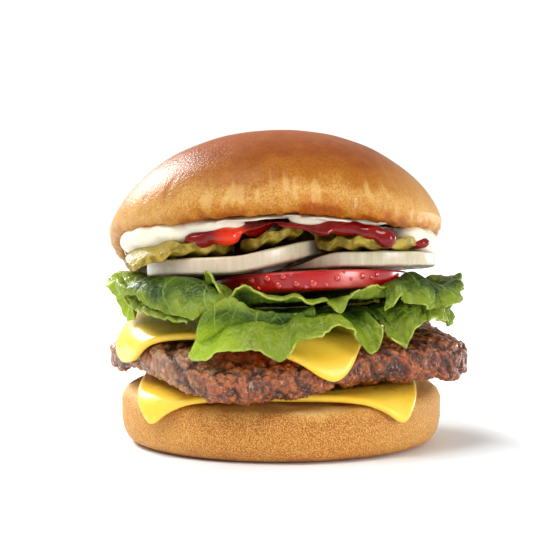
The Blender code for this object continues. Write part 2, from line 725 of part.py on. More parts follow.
def under_heap(x, y):
    """The most that a leaf's middle may rise to: it stays below the tomato and the onions."""
    limit = 1000.0
    for centre, radius, bottom in (
        (TOMATO_CENTRE, TOMATO_RADIUS, tomato_bottom),
        (ONION_RIGHT_CENTRE, ONION_RIGHT_RADIUS, onion_right_bottom),
        (ONION_LEFT_CENTRE, ONION_LEFT_RADIUS, onion_left_bottom),
    ):
        away = math.hypot(x - centre[0], y - centre[1]) - radius
        past_slice = 20 * smooth_step(2.5, 10.0, away)
        limit = min(limit, bottom(x, y) - LEAF_THICKNESS / 2 - LEAF_CLEARANCE + past_slice)
    return limit


def softly_under(height, limit):
    return (height + limit - math.hypot(height - limit, 0.8)) / 2


def bezier(points, t):
    """A value on the cubic curve of four control values."""
    a, b, c, d = points
    s = 1 - t
    return s**3 * a + 3 * s * s * t * b + 3 * s * t * t * c + t**3 * d


def leaf_point(leaf, across, out):
    """A point of a leaf: across from 0 to 1 round its span, out from 0 at its root to 1 at its edge."""
    low, high = leaf["edge"][0][0], leaf["edge"][-1][0]
    azimuth = low + (high - low) * across
    edge_reach, edge_height = along_list(leaf["edge"], azimuth)
    crest_reach, crest_height = along_list(leaf["crest"], azimuth)
    bends = crest_reach - LEAF_BEFORE_CREST, crest_reach + LEAF_PAST_CREST
    heights = crest_height + LEAF_BENDS[0], crest_height + LEAF_BENDS[1]
    reach = bezier((LEAF_ROOT, *bends, edge_reach), out)
    height = bezier((leaf["root"], *heights, edge_height), out)
    angle = math.radians(azimuth)
    x, y = reach * math.sin(angle), -reach * math.cos(angle)
    return x, y, softly_under(height + HEEL_PITCH * y * (1 - out), under_heap(x, y) - leaf["below"])


def make_leaf(name, collection):
    leaf = LEAVES[name]
    sheet = bmesh.new()
    bmesh.ops.create_grid(sheet, x_segments=leaf["cells"], y_segments=LEAF_ROWS, size=0.5)
    for vert in sheet.verts:
        out = (vert.co.y + 0.5) ** LEAF_ROW_SPREAD
        vert.co = Vector(leaf_point(leaf, vert.co.x + 0.5, out)) * MM
    bmesh.ops.triangulate(sheet, faces=sheet.faces)
    bmesh.ops.recalc_face_normals(sheet, faces=sheet.faces)
    mesh = bpy.data.meshes.new(name)
    sheet.to_mesh(mesh)
    sheet.free()
    obj = finished(name, mesh, "lettuce", collection)
    thicken(obj, LEAF_THICKNESS)
    return obj


def main():
    clear_scene()
    burger = bpy.data.collections.new("cheeseburger")
    bpy.context.scene.collection.children.link(burger)
    make_heel(burger)
    make_cheese("cheese_lower", burger, LOWER_CHEESE_CENTRE, LOWER_CHEESE_TURN, heel_drape())
    make_patty(burger)
    make_cheese("cheese_upper", burger, UPPER_CHEESE_CENTRE, UPPER_CHEESE_TURN, patty_drape())
    for name in LEAVES:
        make_leaf(name, burger)
    make_tomato(burger)
    make_onions(burger)
    for name in PICKLES:
        make_pickle(name, burger)
    make_ketchup(burger)
    make_mayonnaise(burger)
    make_crown(burger)


main()
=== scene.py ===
"""The looks of a cheeseburger, made round its solids.

Sizes are millimetres and become metres as each mesh is made. +Z is up and the burger's front faces -Y. The
origin is the middle of the flat underside of the lower bun half, the heel. Azimuths are degrees round the
stack, 0 at the front, 90 at the right and -90 at the left.
"""

import math
from functools import partial

import bpy
import numpy as np
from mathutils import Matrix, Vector
from mathutils.bvhtree import BVHTree


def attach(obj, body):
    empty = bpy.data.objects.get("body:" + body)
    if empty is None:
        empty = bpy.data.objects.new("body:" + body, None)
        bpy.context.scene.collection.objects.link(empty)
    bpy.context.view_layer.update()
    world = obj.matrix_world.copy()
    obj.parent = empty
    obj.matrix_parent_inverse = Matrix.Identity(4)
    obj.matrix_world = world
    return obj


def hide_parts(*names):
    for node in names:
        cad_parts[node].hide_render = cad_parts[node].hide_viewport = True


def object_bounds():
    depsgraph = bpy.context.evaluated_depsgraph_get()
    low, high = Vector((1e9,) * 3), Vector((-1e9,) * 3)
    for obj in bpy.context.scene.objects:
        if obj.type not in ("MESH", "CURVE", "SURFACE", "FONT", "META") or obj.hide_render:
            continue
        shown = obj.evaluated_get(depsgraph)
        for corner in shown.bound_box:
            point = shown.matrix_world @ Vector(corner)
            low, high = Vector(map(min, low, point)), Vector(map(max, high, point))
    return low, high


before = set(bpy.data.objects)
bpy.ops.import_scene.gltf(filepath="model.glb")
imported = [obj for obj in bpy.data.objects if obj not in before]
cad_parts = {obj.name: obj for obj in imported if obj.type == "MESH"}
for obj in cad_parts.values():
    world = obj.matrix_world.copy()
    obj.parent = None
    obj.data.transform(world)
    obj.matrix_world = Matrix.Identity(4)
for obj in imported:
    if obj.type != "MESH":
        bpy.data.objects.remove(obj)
cad_low, cad_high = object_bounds()

MM = 0.001
SIDE_MARGIN, TOP_MARGIN = 0.4, 0.05
# No piece goes past these two corners, which lie inside the solids' box
LEAST = np.array(cad_low) / MM + (SIDE_MARGIN, SIDE_MARGIN, 0.0)
MOST = np.array(cad_high) / MM - (SIDE_MARGIN, SIDE_MARGIN, TOP_MARGIN)
GAP = 0.3  # free space between two solids that rest on each other

BUN_AROUND = 320  # points round each half of the bun

# The lower bun half, called the heel
HEEL_RINGS = 150
HEEL_HEIGHT = 17.8
HEEL_PITCH = 0.034
HEEL_PROFILE = [  # radius, share of the height
    (0.5, 1.0), (26, 1.0), (41, 1.0), (47.0, 0.99), (49.4, 0.945), (50.8, 0.84), (51.3, 0.70),
    (51.1, 0.48), (50.6, 0.28), (49.4, 0.135), (47.4, 0.045), (44.3, 0.0), (20, 0.0), (0.5, 0.0),
]

# Cheese slices
CHEESE_SIDE = 86.0
CHEESE_THICKNESS = 2.3
CHEESE_CORNER = 4.0
CHEESE_CELLS = 44
DRAPE_GAP = 0.6
BEND_LIFT, BEND_WIDTH = 1.0, 9.0  # a slice rises this much, over this width, before it bends down
LOWER_CHEESE_CENTRE = (-0.6, -0.6)
LOWER_CHEESE_TURN = -1.5
UPPER_CHEESE_CENTRE = (-4.6, -2.4)
UPPER_CHEESE_TURN = 22.0 + 45.0

# Slices: points round one, roundness of its edge, rings on each of its faces and rings round its rim
CUT_EDGE = 0.19
TOMATO_MESH = (220, CUT_EDGE, 14, 30)
ONION_MESH = (200, CUT_EDGE, 20, 24)
PICKLE_MESH = (210, 0.35, 26, 22)
SAUCE_MESH = (170, 0.5, 26, 16)
FACE_REACH, RIM_REACH = (0.04, 0.84), 0.86  # from where to where its faces go, and where its rim starts

# The square patty
PATTY_CENTRE = (1.4, 1.0)
PATTY_TURN = 22.0
PATTY_HALF = 50.0
PATTY_POWER = 4.4
PATTY_THICKNESS = 14.5
PATTY_ON_CHEESE = (30.0, 38.0)
PATTY_SAG = 1.8
PATTY_SAG_START = (1.5, 11.0)
PATTY_LEFT = (-32.0, -52.0)
PATTY_LEFT_SAG = 3.0
PATTY_LEFT_FULLER = 1.2
PATTY_FRONT_SAG = 3.3
PATTY_FRONT_Y = (-43.8, -49.0)
PATTY_FRONT_X = (-40.0, -18.0)
PATTY_RISE = 0.02
PATTY_EDGE = 0.44
# Below the middle of the patty's side the slice hangs: how much of it, and how far down that reaches
PATTY_HANG = [(4.6, 2.8), (6.4, 1.0)]
PATTY_MEAT, PATTY_CRUMBS = 2.7, 1.3  # sizes of its coarse and fine grains
PATTY_AROUND, PATTY_FACE_RINGS, PATTY_RIM_RINGS = 700, 12, 56

# The heap of toppings leans back
HEAP_SLOPE = 0.115
HEAP_FRONT = -38.0
TOMATO_CENTRE = (7.8, -12.0)
TOMATO_RADIUS = 32.0
TOMATO_BOTTOM = (50.4, 1.5, 0.0)
TOMATO_TOP = (56.95, 1.45, -0.45)
ONION_RIGHT_CENTRE = (24.3, -15.5)
ONION_RIGHT_RADIUS = 23.8
ONION_RIGHT_BOTTOM = 57.3
ONION_RIGHT_RISE = 0.028
ONION_RIGHT_THICKNESS = 4.8
ONION_RIGHT_THIN = 4.0
ONION_RIGHT_BEND = (17.0, 0.5)
ONION_LEFT_CENTRE = (-13.8, -15.5)
ONION_LEFT_RADIUS = 27.8
ONION_LEFT_BOTTOM = 55.3
ONION_LEFT_RISE = 0.27
ONION_LEFT_BEND = -13.0
ONION_LEFT_SOFT = 5.0
ONION_LEFT_THICKNESS = 5.4
ONION_STEP_LEFT = (1.4, 1.0)
ONION_STEP_RIGHT = (1.12, 0.98)
ONION_RING, ONION_GROOVE = 4.2, 0.16  # width of a ring on its face and depth of the groove between two

# Pickle slices: centre, radius, roll up to the right, direction of the crinkles
PICKLES = {
    "pickle_left": {"centre": (-31.0, -23.5), "radius": 17.3, "roll": 0.0, "turn": 0.35},
    "pickle_middle": {"centre": (-2.6, -29.0), "radius": 10.2, "roll": 0.06, "turn": 0.2},
    "pickle_right": {"centre": (25.6, -24.0), "radius": 17.2, "roll": -0.02, "turn": -0.3},
}
PICKLE_THICKNESS = 3.6
PICKLE_DROOP = 2.4
CRINKLE_DEPTH = 0.55
CRINKLE_PITCH = 6.5

# The upper bun half, called the crown
CROWN_PLACE = (-1.4, 0.0, 60.3)
CROWN_TILT = -16.0
CROWN_ROLL = -2.0
CROWN_RADIUS = 53.4
CROWN_DOME = 32.0
CROWN_EQUATOR = 5.0
CROWN_CUT_RADIUS = 49.4
CROWN_RIM = [(52.8, 2.2), (51.3, 0.6)]
CROWN_HOLLOW = 10.0
CROWN_DOME_RINGS, CROWN_RIM_RINGS, CROWN_CUT_RINGS = 96, 16, 18
CROWN_CRUST_RINGS = 2 + CROWN_RIM_RINGS  # rings past the dome that still have a crust
# Where its rim bends up or down: azimuth, half width in degrees and how much
CROWN_RIM_LUMPS = [(-78, 28, 3.0), (92, 22, 2.6), (46, 16, -1.6), (-122, 22, -2.6)]

# Sauces. Bulges are stretches of the rim that reach further out and lumps are thicker ones: azimuth, half
# width in degrees and how much more
MAYO_RADIUS, KETCHUP_RADIUS = 44.6, 41.2
MAYO_BULGES = [(-72, 28, 4.6), (80, 20, 5.0), (14, 26, 2.2), (-22, 16, 1.6)]
KETCHUP_BULGES = [(-37, 7, 3.6), (-27, 6, 3.8), (20, 9, 3.0), (37, 6, 4.6), (66, 7, 2.5)]
MAYO_THICKNESS = 1.0
KETCHUP_THICKNESS = 1.0
SAUCE_LEAST = 0.3
SAUCE_GAP = 1.25
MAYO_LUMPS = [(-76, 20, 6.0), (80, 17, 6.5), (22, 9, 0.8), (-12, 8, 0.8)]
KETCHUP_LUMPS = [(-34, 14, 6.0), (-5, 12, 3.0), (20, 12, 4.0), (42, 10, 4.5), (64, 9, 3.0)]
SAUCE_VOXEL, SAUCE_SOFTENING = 0.76, 14
# Blobs that stand out of each sauce's rim: centre, radii
MAYO_BLOBS = [
    ((-41.0, -20.0, 64.4), (9.0, 9.0, 5.0)), ((-37.0, -26.5, 66.0), (9.5, 8.0, 4.6)),
    ((-30.0, -31.5, 67.9), (10.5, 6.5, 4.0)), ((-20.0, -36.0, 70.0), (10.0, 4.5, 2.6)),
    ((8.0, -38.5, 72.0), (6.0, 3.0, 1.8)), ((24.0, -36.0, 71.2), (9.0, 2.4, 1.4)),
    ((43.0, -18.0, 64.4), (5.4, 9.8, 4.6)), ((39.0, -26.0, 66.6), (6.0, 6.0, 3.2)),
]
FRESH_KETCHUP = (-15.5, -38.5, 68.0)  # the middle of the blob with painted light, a brighter orange red
KETCHUP_BLOBS = [
    ((-24.6, -37.2, 65.9), (4.8, 3.2, 2.9)), ((-16.6, -39.0, 67.2), (4.8, 3.0, 3.1)),
    ((-8.0, -34.5, 69.2), (4.6, 3.4, 2.8)), ((13.5, -37.4, 70.2), (5.0, 2.8, 2.6)),
    ((20.0, -38.4, 69.6), (5.6, 2.6, 2.6)), ((26.5, -39.4, 68.3), (4.4, 2.6, 2.6)),
    ((31.2, -41.2, 66.6), (3.3, 2.6, 3.3)),
    ((41.6, -28.0, 64.6), (4.2, 3.0, 2.1)), ((-46.4, -13.0, 61.0), (3.0, 4.5, 2.0)),
]

# Lettuce leaves: see leaf_rows
LEAF_THICKNESS = 0.6
LEAF_ROOT = 14.0
LEAF_CLEARANCE = 1.9
LEAF_BENDS = ((-10, 1), (7, 3.5))  # reach and height, from its crest, of the two places that bend a leaf
RIB_PITCH = 13
SOLID_LEAF_THICKNESS = 0.9
LEAF_ROWS = 50
FOLD_ROWS, FOLD_COLUMNS, FOLD_SEED = 30, 200, 40
FOLD_OUT, FOLD_UP = 1.6, 1.2  # how far a second layer bulges outwards and upwards
LEAVES = {
    "lettuce_left": {
        "root": 42.0, "below": 0.0, "columns": 280, "frill": 0.8, "blister": 0.6, "seed": 3, "puckers": 5.5,
        "edge": [
            (-118, 50, 46), (-110, 54, 51.5), (-98, 57, 49.5), (-90, 55, 48.5), (-85, 52, 45),
            (-80, 49.5, 40.2), (-73, 48.5, 39.6), (-68, 51, 43), (-62, 54, 48), (-57, 54.5, 46),
            (-47, 56, 44), (-38, 57, 43), (-29, 58, 41.5),
        ],
        "crest": [
            (-118, 38, 47), (-95, 40, 51), (-70, 40, 54), (-45, 41, 53.5), (-36, 41, 52), (-29, 40, 50.5),
        ],
    },
    "lettuce_front": {
        "root": 42.0, "below": 2.2, "columns": 280, "frill": 0.95, "blister": 0.45, "seed": 5,
        "puckers": 6.5,
        "edge": [
            (-26.5, 60.5, 34), (-21, 60.5, 32.2), (-15, 59.5, 34.8), (-7, 58, 34.8), (0, 57.5, 32.2),
            (6, 57, 38.2), (12, 57, 38.6), (17, 57, 42), (23, 57.5, 36.5), (28, 58, 34.2), (32, 57.5, 40),
        ],
        "crest": [(-27, 40, 45), (0, 42, 46), (32, 42, 45.5)],
    },
    "lettuce_right": {
        "root": 42.0, "below": 2.2, "columns": 300, "frill": 1.9, "blister": 1.3, "seed": 9, "puckers": 4.6,
        "edge": [
            (34, 58, 38), (38, 58.5, 35.2), (44, 58, 39.5), (50, 57.5, 43), (56, 58, 41.5), (64, 58, 39.5),
            (72, 56.5, 38.9), (79, 54, 43), (85, 52, 45.5), (90, 56.5, 49), (94, 57.5, 52),
            (99, 55, 51.5), (106, 51, 49), (114, 50, 46),
        ],
        "crest": [
            (34, 42, 45.5), (48, 42, 47), (58, 42, 53.5), (70, 42, 52.5), (84, 42, 48), (98, 40, 47),
            (114, 38, 46),
        ],
    },
    "lettuce_back": {
        "root": 41.5, "below": 0.0, "columns": 180, "frill": 1.1, "blister": 0.8, "seed": 12, "puckers": 5.0,
        "edge": [
            (116, 50, 45), (127, 55, 48), (138, 57, 43), (150, 56, 45.5), (161, 58, 42), (172, 56, 44.6),
            (184, 57, 42), (196, 55, 44.8), (208, 58, 42), (220, 57, 46), (230, 55, 45), (240, 50, 46),
        ],
        "crest": [(116, 36, 45), (180, 38, 44), (240, 36, 45)],
    },
    "lettuce_collar": {
        "root": 44.5, "below": 0.0, "columns": 200, "frill": 0.6, "blister": 0.5, "seed": 17, "puckers": 5.0,
        "edge": [
            (-28, 46, 52), (-25, 53, 57.4), (-21.5, 52.5, 53.6), (-17.8, 51.5, 49.4), (-14.5, 52, 52.6),
            (-11.5, 52, 53.9), (-7, 51.5, 51.4), (-2, 51, 49.6), (5, 51, 50), (10, 51, 48),
            (15, 51.5, 49.4), (20.5, 51.5, 45.4), (25, 51, 50.5), (31, 51, 53), (38, 50.5, 51.5),
            (45, 50, 54.2), (50, 49, 52),
        ],
        "crest": [(-28, 40, 50), (0, 40, 48.6), (30, 41, 50), (50, 41, 51)],
    },
}
# A leaf's second layer, between two lines of azimuth, reach and height: where it starts, and its free edge
LEAF_FOLDS = {
    "lettuce_left": {
        "start": [
            (-73, 52, 53.3), (-65, 52.2, 50.9), (-61, 51.7, 51.1), (-57, 51, 53), (-52, 50.8, 54.4),
            (-46, 50.8, 54.9), (-38, 50.5, 55), (-31, 50, 54.8), (-27, 49, 53.6), (-22, 48, 51.5),
        ],
        "end": [
            (-65, 54, 48.7), (-53.3, 55.3, 48.6), (-44.1, 56.5, 46.2), (-37.1, 57.3, 44.9),
            (-32, 57.5, 45.2), (-26.7, 57.3, 43.4), (-23, 54.5, 45.5), (-18, 51.5, 48.5),
        ],
    },
    "lettuce_front": {
        "start": [
            (-25.8, 56, 35.5), (-23, 53, 37.5), (-19, 50.5, 40), (-14, 49.5, 40.5), (-8, 49, 41),
            (2, 47.5, 41.5), (12, 47, 41.8),
        ],
        "end": [
            (-24.3, 57.2, 43.4), (-22, 54.8, 46.4), (-18.5, 52.6, 49.2), (-14, 50.8, 48.0), (-8, 49, 46.4),
            (2, 48, 45.6), (12, 47.4, 45.2),
        ],
    },
    "lettuce_right": {
        "start": [
            (38, 48, 51.8), (43, 47, 52.9), (51, 46, 53.8), (58, 45.5, 55), (63, 46.5, 54.8), (68, 49, 51.5),
            (76, 51, 49.8), (84, 53, 50.4), (90, 55.3, 52),
        ],
        "end": [
            (34, 56.5, 45.6), (37.4, 55, 47.4), (39.9, 55, 48.4), (43.8, 55.5, 47.6), (49, 55.5, 46.7),
            (52.1, 56, 44.6), (60.5, 57, 44.8), (69, 57, 45.4), (76, 57, 47.4), (90, 56.3, 51.6),
        ],
    },
}

# The studio: how bright its white is for the food and for the camera, 1 being white paper
STUDIO_LIGHT, STUDIO_SEEN = 0.56, 1.02
SUN_PLACE, SUN_POWER, SUN_WIDTH = (-0.45, -0.42, 1.0), 2.1, 32  # the width in degrees
# Windows: place, target and size in metres, power in watts
WINDOWS = {
    "window_left": ((-0.5, 0.62, 0.5), (0, 0, 0.06), (0.3, 0.3), 8),
    "window_right": ((0.75, -0.62, 0.14), (0, 0, 0.06), (0.3, 0.42), 5),
    "rim_light": ((0.66, 0.46, 0.07), (0, 0, 0.05), (0.34, 0.12), 1.4),
}
TABLE_HALF, TABLE_DROP = 4, 0.0002  # in metres, and so is the camera's place
CAMERA_PLACE, CAMERA_LENS, CAMERA_SENSOR = (-0.0011, -0.6, 0.1), 122, 36
CAMERA_DROP = 0.0483  # how much lower than the camera the line of sight is over the origin

# Water drops on the tomato's side: azimuth round the slice, share of its height, radius before DROP_SIZE
DROP_SIZE = 1.35
DROPS = [
    (-31, 0.62, 0.75), (-22, 0.66, 0.8), (-15.5, 0.30, 0.75), (-13, 0.72, 0.7), (-6, 0.34, 0.7),
    (-1, 0.2, 0.45), (3, 0.32, 0.85), (10, 0.25, 0.45), (16, 0.55, 0.65), (24, 0.5, 0.4), (31, 0.62, 0.7),
    (37, 0.55, 0.4), (41, 0.68, 0.5), (-38, 0.5, 0.4), (-27, 0.25, 0.4), (20, 0.82, 0.35), (-9, 0.8, 0.4),
]


def smooth_step(low, high, value):
    """0 at low, 1 at high, smooth between, and level past both. Low may be the greater of the two."""
    t = np.clip((value - low) / (high - low), 0.0, 1.0)
    return t * t * (3 - 2 * t)


def hill(angle, centre, width):
    """A soft hill round the angle centre, in degrees, of half width width."""
    away = (angle - centre + 180) % 360 - 180
    return np.exp(-((away / width) ** 2))


def hills(angle, lumps):
    """Soft hills added up, each from its centre, half width and height."""
    return sum(height * hill(angle, centre, width) for centre, width, height in lumps)


def front_angle(x, y):
    return np.degrees(np.arctan2(x, -y))


def away_from(centre, x, y):
    return np.hypot(x - centre[0], y - centre[1])


def turned(x, y, degrees):
    """A place on the floor plane, turned round the origin."""
    cos, sin = math.cos(math.radians(degrees)), math.sin(math.radians(degrees))
    return x * cos - y * sin, x * sin + y * cos


def unit(vectors):
    return vectors / np.maximum(np.linalg.norm(vectors, axis=-1, keepdims=True), 1e-9)


def lattice(corners, seed):
    """A number from 0 to 1 for each whole-numbered point of space, the same in each run."""
    whole = corners.astype(np.int64)
    mixed = whole[..., 0] * 374761393 + whole[..., 1] * 668265263 + whole[..., 2] * 432126661 + seed * 97531
    mixed = (mixed ^ (mixed >> 13)) % 4294967296 * 1274126177 % 4294967296
    return (mixed ^ (mixed >> 16)) % 4294967296 / 4294967296.0


def cloud(points, size, seed=0):
    """Smooth noise of about -1 to 1 whose hills are size across."""
    scaled = np.asarray(points) / size
    low = np.floor(scaled)
    t = scaled - low
    fade = t * t * t * (t * (t * 6 - 15) + 10)
    total = 0.0
    for corner in np.ndindex(2, 2, 2):
        weight = np.prod(np.where(corner, fade, 1 - fade), axis=-1)
        slope = np.stack([lattice(low + corner, 3 * seed + k) for k in range(3)], axis=-1) * 2 - 1
        total = total + weight * np.sum(slope * (t - corner), axis=-1)
    return total * 1.6


def clouds(points, size, octaves, seed=0):
    """Noise with finer and weaker noise on top of it."""
    return sum(cloud(points, size / 2**k, seed + k) / 2**k for k in range(octaves))


def grains(points, size, seed=0):
    """Distance from each point to the nearest and second nearest of grains about size apart, in sizes."""
    scaled = np.asarray(points) / size
    low = np.floor(scaled)
    first = np.full(scaled.shape[:-1], 9.0)
    second = first.copy()
    for step in np.ndindex(3, 3, 3):
        cell = low + np.array(step) - 1
        spot = cell + np.stack([lattice(cell, 3 * seed + k) for k in range(3)], axis=-1)
        away = np.linalg.norm(scaled - spot, axis=-1)
        second = np.minimum(second, np.maximum(first, away))
        first = np.minimum(first, away)
    return first, second


def smooth_curve(points, count):
    """A smooth line of count points through the given ones, evenly spaced along its length."""
    line = np.array(points, float)
    steps = np.linalg.norm(np.diff(line, axis=0), axis=1) ** 0.5
    knots = np.concatenate([[0.0], np.cumsum(steps)])
    slopes = np.gradient(line, knots, axis=0)
    fine = np.linspace(0, knots[-1], 40 * len(line))
    k = np.clip(np.searchsorted(knots, fine, "right") - 1, 0, len(line) - 2)
    width = (knots[k + 1] - knots[k])[:, None]
    t = (fine - knots[k])[:, None] / width
    dense = (
        (2 * t**3 - 3 * t**2 + 1) * line[k] + (t**3 - 2 * t**2 + t) * width * slopes[k]
        + (3 * t**2 - 2 * t**3) * line[k + 1] + (t**3 - t**2) * width * slopes[k + 1]
    )
    length = np.concatenate([[0.0], np.cumsum(np.linalg.norm(np.diff(dense, axis=0), axis=1))])
    even = np.linspace(0, length[-1], count)
    return np.stack([np.interp(even, length, dense[:, k]) for k in range(line.shape[1])], axis=1)


def ring_body(rows):
    """Points and faces of a closed body from rings of points, top ring first."""
    rings, around = rows.shape[:2]
    points = np.vstack([rows.reshape(-1, 3), rows[0].mean(axis=0), rows[-1].mean(axis=0)])
    here = np.arange(rings * around).reshape(rings, around)
    beside = np.roll(here, -1, axis=1)
    faces = np.stack([here[:-1], here[1:], beside[1:], beside[:-1]], axis=-1).reshape(-1, 4).tolist()
    top, base = rings * around, rings * around + 1
    faces += [(top, a, b) for a, b in zip(here[0].tolist(), beside[0].tolist())]
    faces += [(base, b, a) for a, b in zip(here[-1].tolist(), beside[-1].tolist())]
    return points, faces


def sheet_faces(rows, columns):
    here = np.arange(rows * columns).reshape(rows, columns)
    corners = [here[:-1, :-1], here[1:, :-1], here[1:, 1:], here[:-1, 1:]]
    return np.stack(corners, axis=-1).reshape(-1, 4).tolist()


def new_piece(name, node, points, faces, material, slot):
    """A smooth object from points in millimetres, in the burger's body. It takes the node's place."""
    mesh = bpy.data.meshes.new(name)
    mesh.from_pydata((np.asarray(points) * MM).tolist(), [], faces)
    mesh.shade_smooth()
    mesh.materials.append(material)
    obj = bpy.data.objects.new(name, mesh)
    bpy.context.scene.collection.objects.link(obj)
    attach(obj, "root")
    if node:
        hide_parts(node)
    return obj


def points_of(mesh):
    flat = np.empty(len(mesh.vertices) * 3)
    mesh.vertices.foreach_get("co", flat)
    return flat.reshape(-1, 3) / MM


def normals_of(mesh):
    flat = np.empty(len(mesh.vertices) * 3)
    mesh.vertices.foreach_get("normal", flat)
    return flat.reshape(-1, 3)


def raise_surface(obj, height):
    """Moves each point along its normal by height, in millimetres."""
    mesh = obj.data
    moved = np.clip(points_of(mesh) + normals_of(mesh) * np.asarray(height)[:, None], LEAST, MOST)
    mesh.vertices.foreach_set("co", (moved * MM).ravel())
    mesh.update()


def mark(obj, name, values):
    """Stores a number for each point, for the material to read."""
    layer = obj.data.attributes.new(name, "FLOAT", "POINT")
    layer.data.foreach_set("value", np.asarray(values, dtype=np.float32).ravel())


def slice_profile(edge, flat_rings, rim_rings):
    """Reach and share of the height of a slice's rings, from the middle of its top round its rim."""
    flat = np.linspace(*FACE_REACH, flat_rings)
    turn = np.arccos(RIM_REACH ** (1 / edge))
    rim = np.linspace(turn, -turn, rim_rings)
    reach = np.concatenate([flat, np.cos(rim) ** edge, flat[::-1]])
    level = (1 - flat ** (2 / edge)) ** (edge / 2)
    height = np.concatenate([level, np.sign(rim) * np.abs(np.sin(rim)) ** edge, -level[::-1]])
    return reach[:, None], (height[:, None] + 1) / 2


def round_slice(centre, radius, bottom, top, around, edge, flat_rings, rim_rings):
    """Rings of a round slice between the surfaces bottom(x, y) and top(x, y)."""
    angle = np.linspace(-180, 180, around, endpoint=False)[None, :]
    reach, share = slice_profile(edge, flat_rings, rim_rings)
    outline = radius(angle) * reach
    x = centre[0] + outline * np.sin(np.radians(angle))
    y = centre[1] - outline * np.cos(np.radians(angle))
    low, high = bottom(x, y), top(x, y)
    return np.stack([x, y, low + (high - low) * share], axis=-1)


def heel_top(x, y):
    return HEEL_HEIGHT + HEEL_PITCH * y


def make_heel():
    profile = smooth_curve(HEEL_PROFILE, HEEL_RINGS)
    angle = np.linspace(-np.pi, np.pi, BUN_AROUND, endpoint=False)[None, :]
    reach = profile[:, :1]
    x, y = reach * np.sin(angle), -reach * np.cos(angle)
    rows = np.stack([x, y, np.maximum(profile[:, 1:], 0) * heel_top(x, y)], axis=-1)
    obj = new_piece("lower_bun", "bun_heel", *ring_body(rows), bun_heel_finish(), "bun")
    points = points_of(obj.data)
    side = smooth_step(0.2, 1.5, points[:, 2]) * smooth_step(30, 40, np.hypot(points[:, 0], points[:, 1]))
    bumps = 0.3 * clouds(points, 17, 3, 21) + 0.05 * cloud(points, 1.3, 24) + 0.03 * cloud(points, 0.8, 25)
    raise_surface(obj, (bumps - 0.12) * side)
    return obj


def crown_axes():
    tilt, roll = math.radians(CROWN_TILT), math.radians(CROWN_ROLL)
    about_x = [[1, 0, 0], [0, math.cos(tilt), -math.sin(tilt)], [0, math.sin(tilt), math.cos(tilt)]]
    about_y = [[math.cos(roll), 0, math.sin(roll)], [0, 1, 0], [-math.sin(roll), 0, math.cos(roll)]]
    return np.array(about_y) @ np.array(about_x)


CROWN_AXES = crown_axes()


def on_crown(x, y, z):
    """A point of the crown's own frame, placed."""
    return np.stack([x, y, z], axis=-1) @ CROWN_AXES.T + np.array(CROWN_PLACE)


def hollow(reach):
    return CROWN_HOLLOW * np.maximum(0.0, 1 - (reach / CROWN_CUT_RADIUS) ** 2)


def crown_lift(x, y, z):
    """How far the crown's rim bends up or down from the plane of the cut."""
    angle, reach = front_angle(x, y), np.hypot(x, y)
    return hills(angle, CROWN_RIM_LUMPS) * smooth_step(20.0, 44.0, reach) * (1 - smooth_step(0.0, 18.0, z))


def crown_under(x, y):
    """Height of the crown's cut face above a point of the floor plane."""
    px, py = x, y
    for _ in range(6):
        point = on_crown(px, py, hollow(np.hypot(px, py)) + crown_lift(px, py, np.zeros_like(px)))
        px = px + x - point[..., 0]
        py = py + y - point[..., 1]
    return point[..., 2]


def make_crown():
    turn = np.linspace(math.pi / 2 - 0.02, 0, CROWN_DOME_RINGS)
    dome = np.stack([CROWN_RADIUS * np.cos(turn) ** 1.05, CROWN_EQUATOR + CROWN_DOME * np.sin(turn)], axis=1)
    rim = smooth_curve([(CROWN_RADIUS, CROWN_EQUATOR), *CROWN_RIM, (CROWN_CUT_RADIUS, 0.0)], CROWN_RIM_RINGS)
    inside = np.linspace(CROWN_CUT_RADIUS, 0.5, CROWN_CUT_RINGS)[1:]
    profile = np.vstack([dome, rim[1:], np.stack([inside, hollow(inside)], axis=1)])
    angle = np.linspace(-np.pi, np.pi, BUN_AROUND, endpoint=False)[None, :]
    reach = profile[:, :1]
    rise = np.maximum(0, profile[:, 1:] - CROWN_EQUATOR) / CROWN_DOME
    slump = 1 - 0.12 * rise * (1 - rise)
    x, y = reach * np.sin(angle), -reach * np.cos(angle)
    z = profile[:, 1:] + crown_lift(x, y, profile[:, 1:] + 0 * x)
    rows = on_crown(x * slump, y, z)
    obj = new_piece("upper_bun", "bun_crown", *ring_body(rows), bun_crown_finish(), "bun")
    order = np.arange(profile.shape[0])[:, None] + 0 * angle
    outside = np.concatenate([(order <= len(dome) + CROWN_CRUST_RINGS).ravel(), [True, False]])
    ends = [CROWN_DOME + CROWN_EQUATOR, CROWN_HOLLOW]
    height = np.concatenate([(profile[:, 1:] + 0 * angle).ravel(), ends])
    mark(obj, "crust", smooth_step(-1, 1, outside * 2.0 - 1))
    mark(obj, "height", height / (CROWN_DOME + CROWN_EQUATOR))
    points = points_of(obj.data)
    azimuth = front_angle(points[:, 0], points[:, 1])
    folds = cloud(np.stack([azimuth / 2.6, height * 0.09, 0 * height], axis=1), 1.0, 41)
    folds = folds + 0.4 * cloud(np.stack([azimuth / 1.3, height * 0.2, 0 * height], axis=1), 1.0, 42)
    near_rim = smooth_step(17, 7, height) * smooth_step(1.0, 4.0, height)
    bumps = 0.35 * clouds(points, 24, 2, 31) + 0.025 * cloud(points, 1.1, 33) + 0.02 * cloud(points, 0.7, 34)
    wrinkle = near_rim * smooth_step(0.0, 0.6, folds) * smooth_step(75, 50, np.abs(azimuth))
    rough_edge = 0.6 * clouds(points, 2.6, 2, 35) * smooth_step(4.5, 2.0, height)
    raise_surface(obj, (bumps - 0.55 * wrinkle + rough_edge - 0.3) * outside)
    mark(obj, "wrinkle", wrinkle)
    return obj


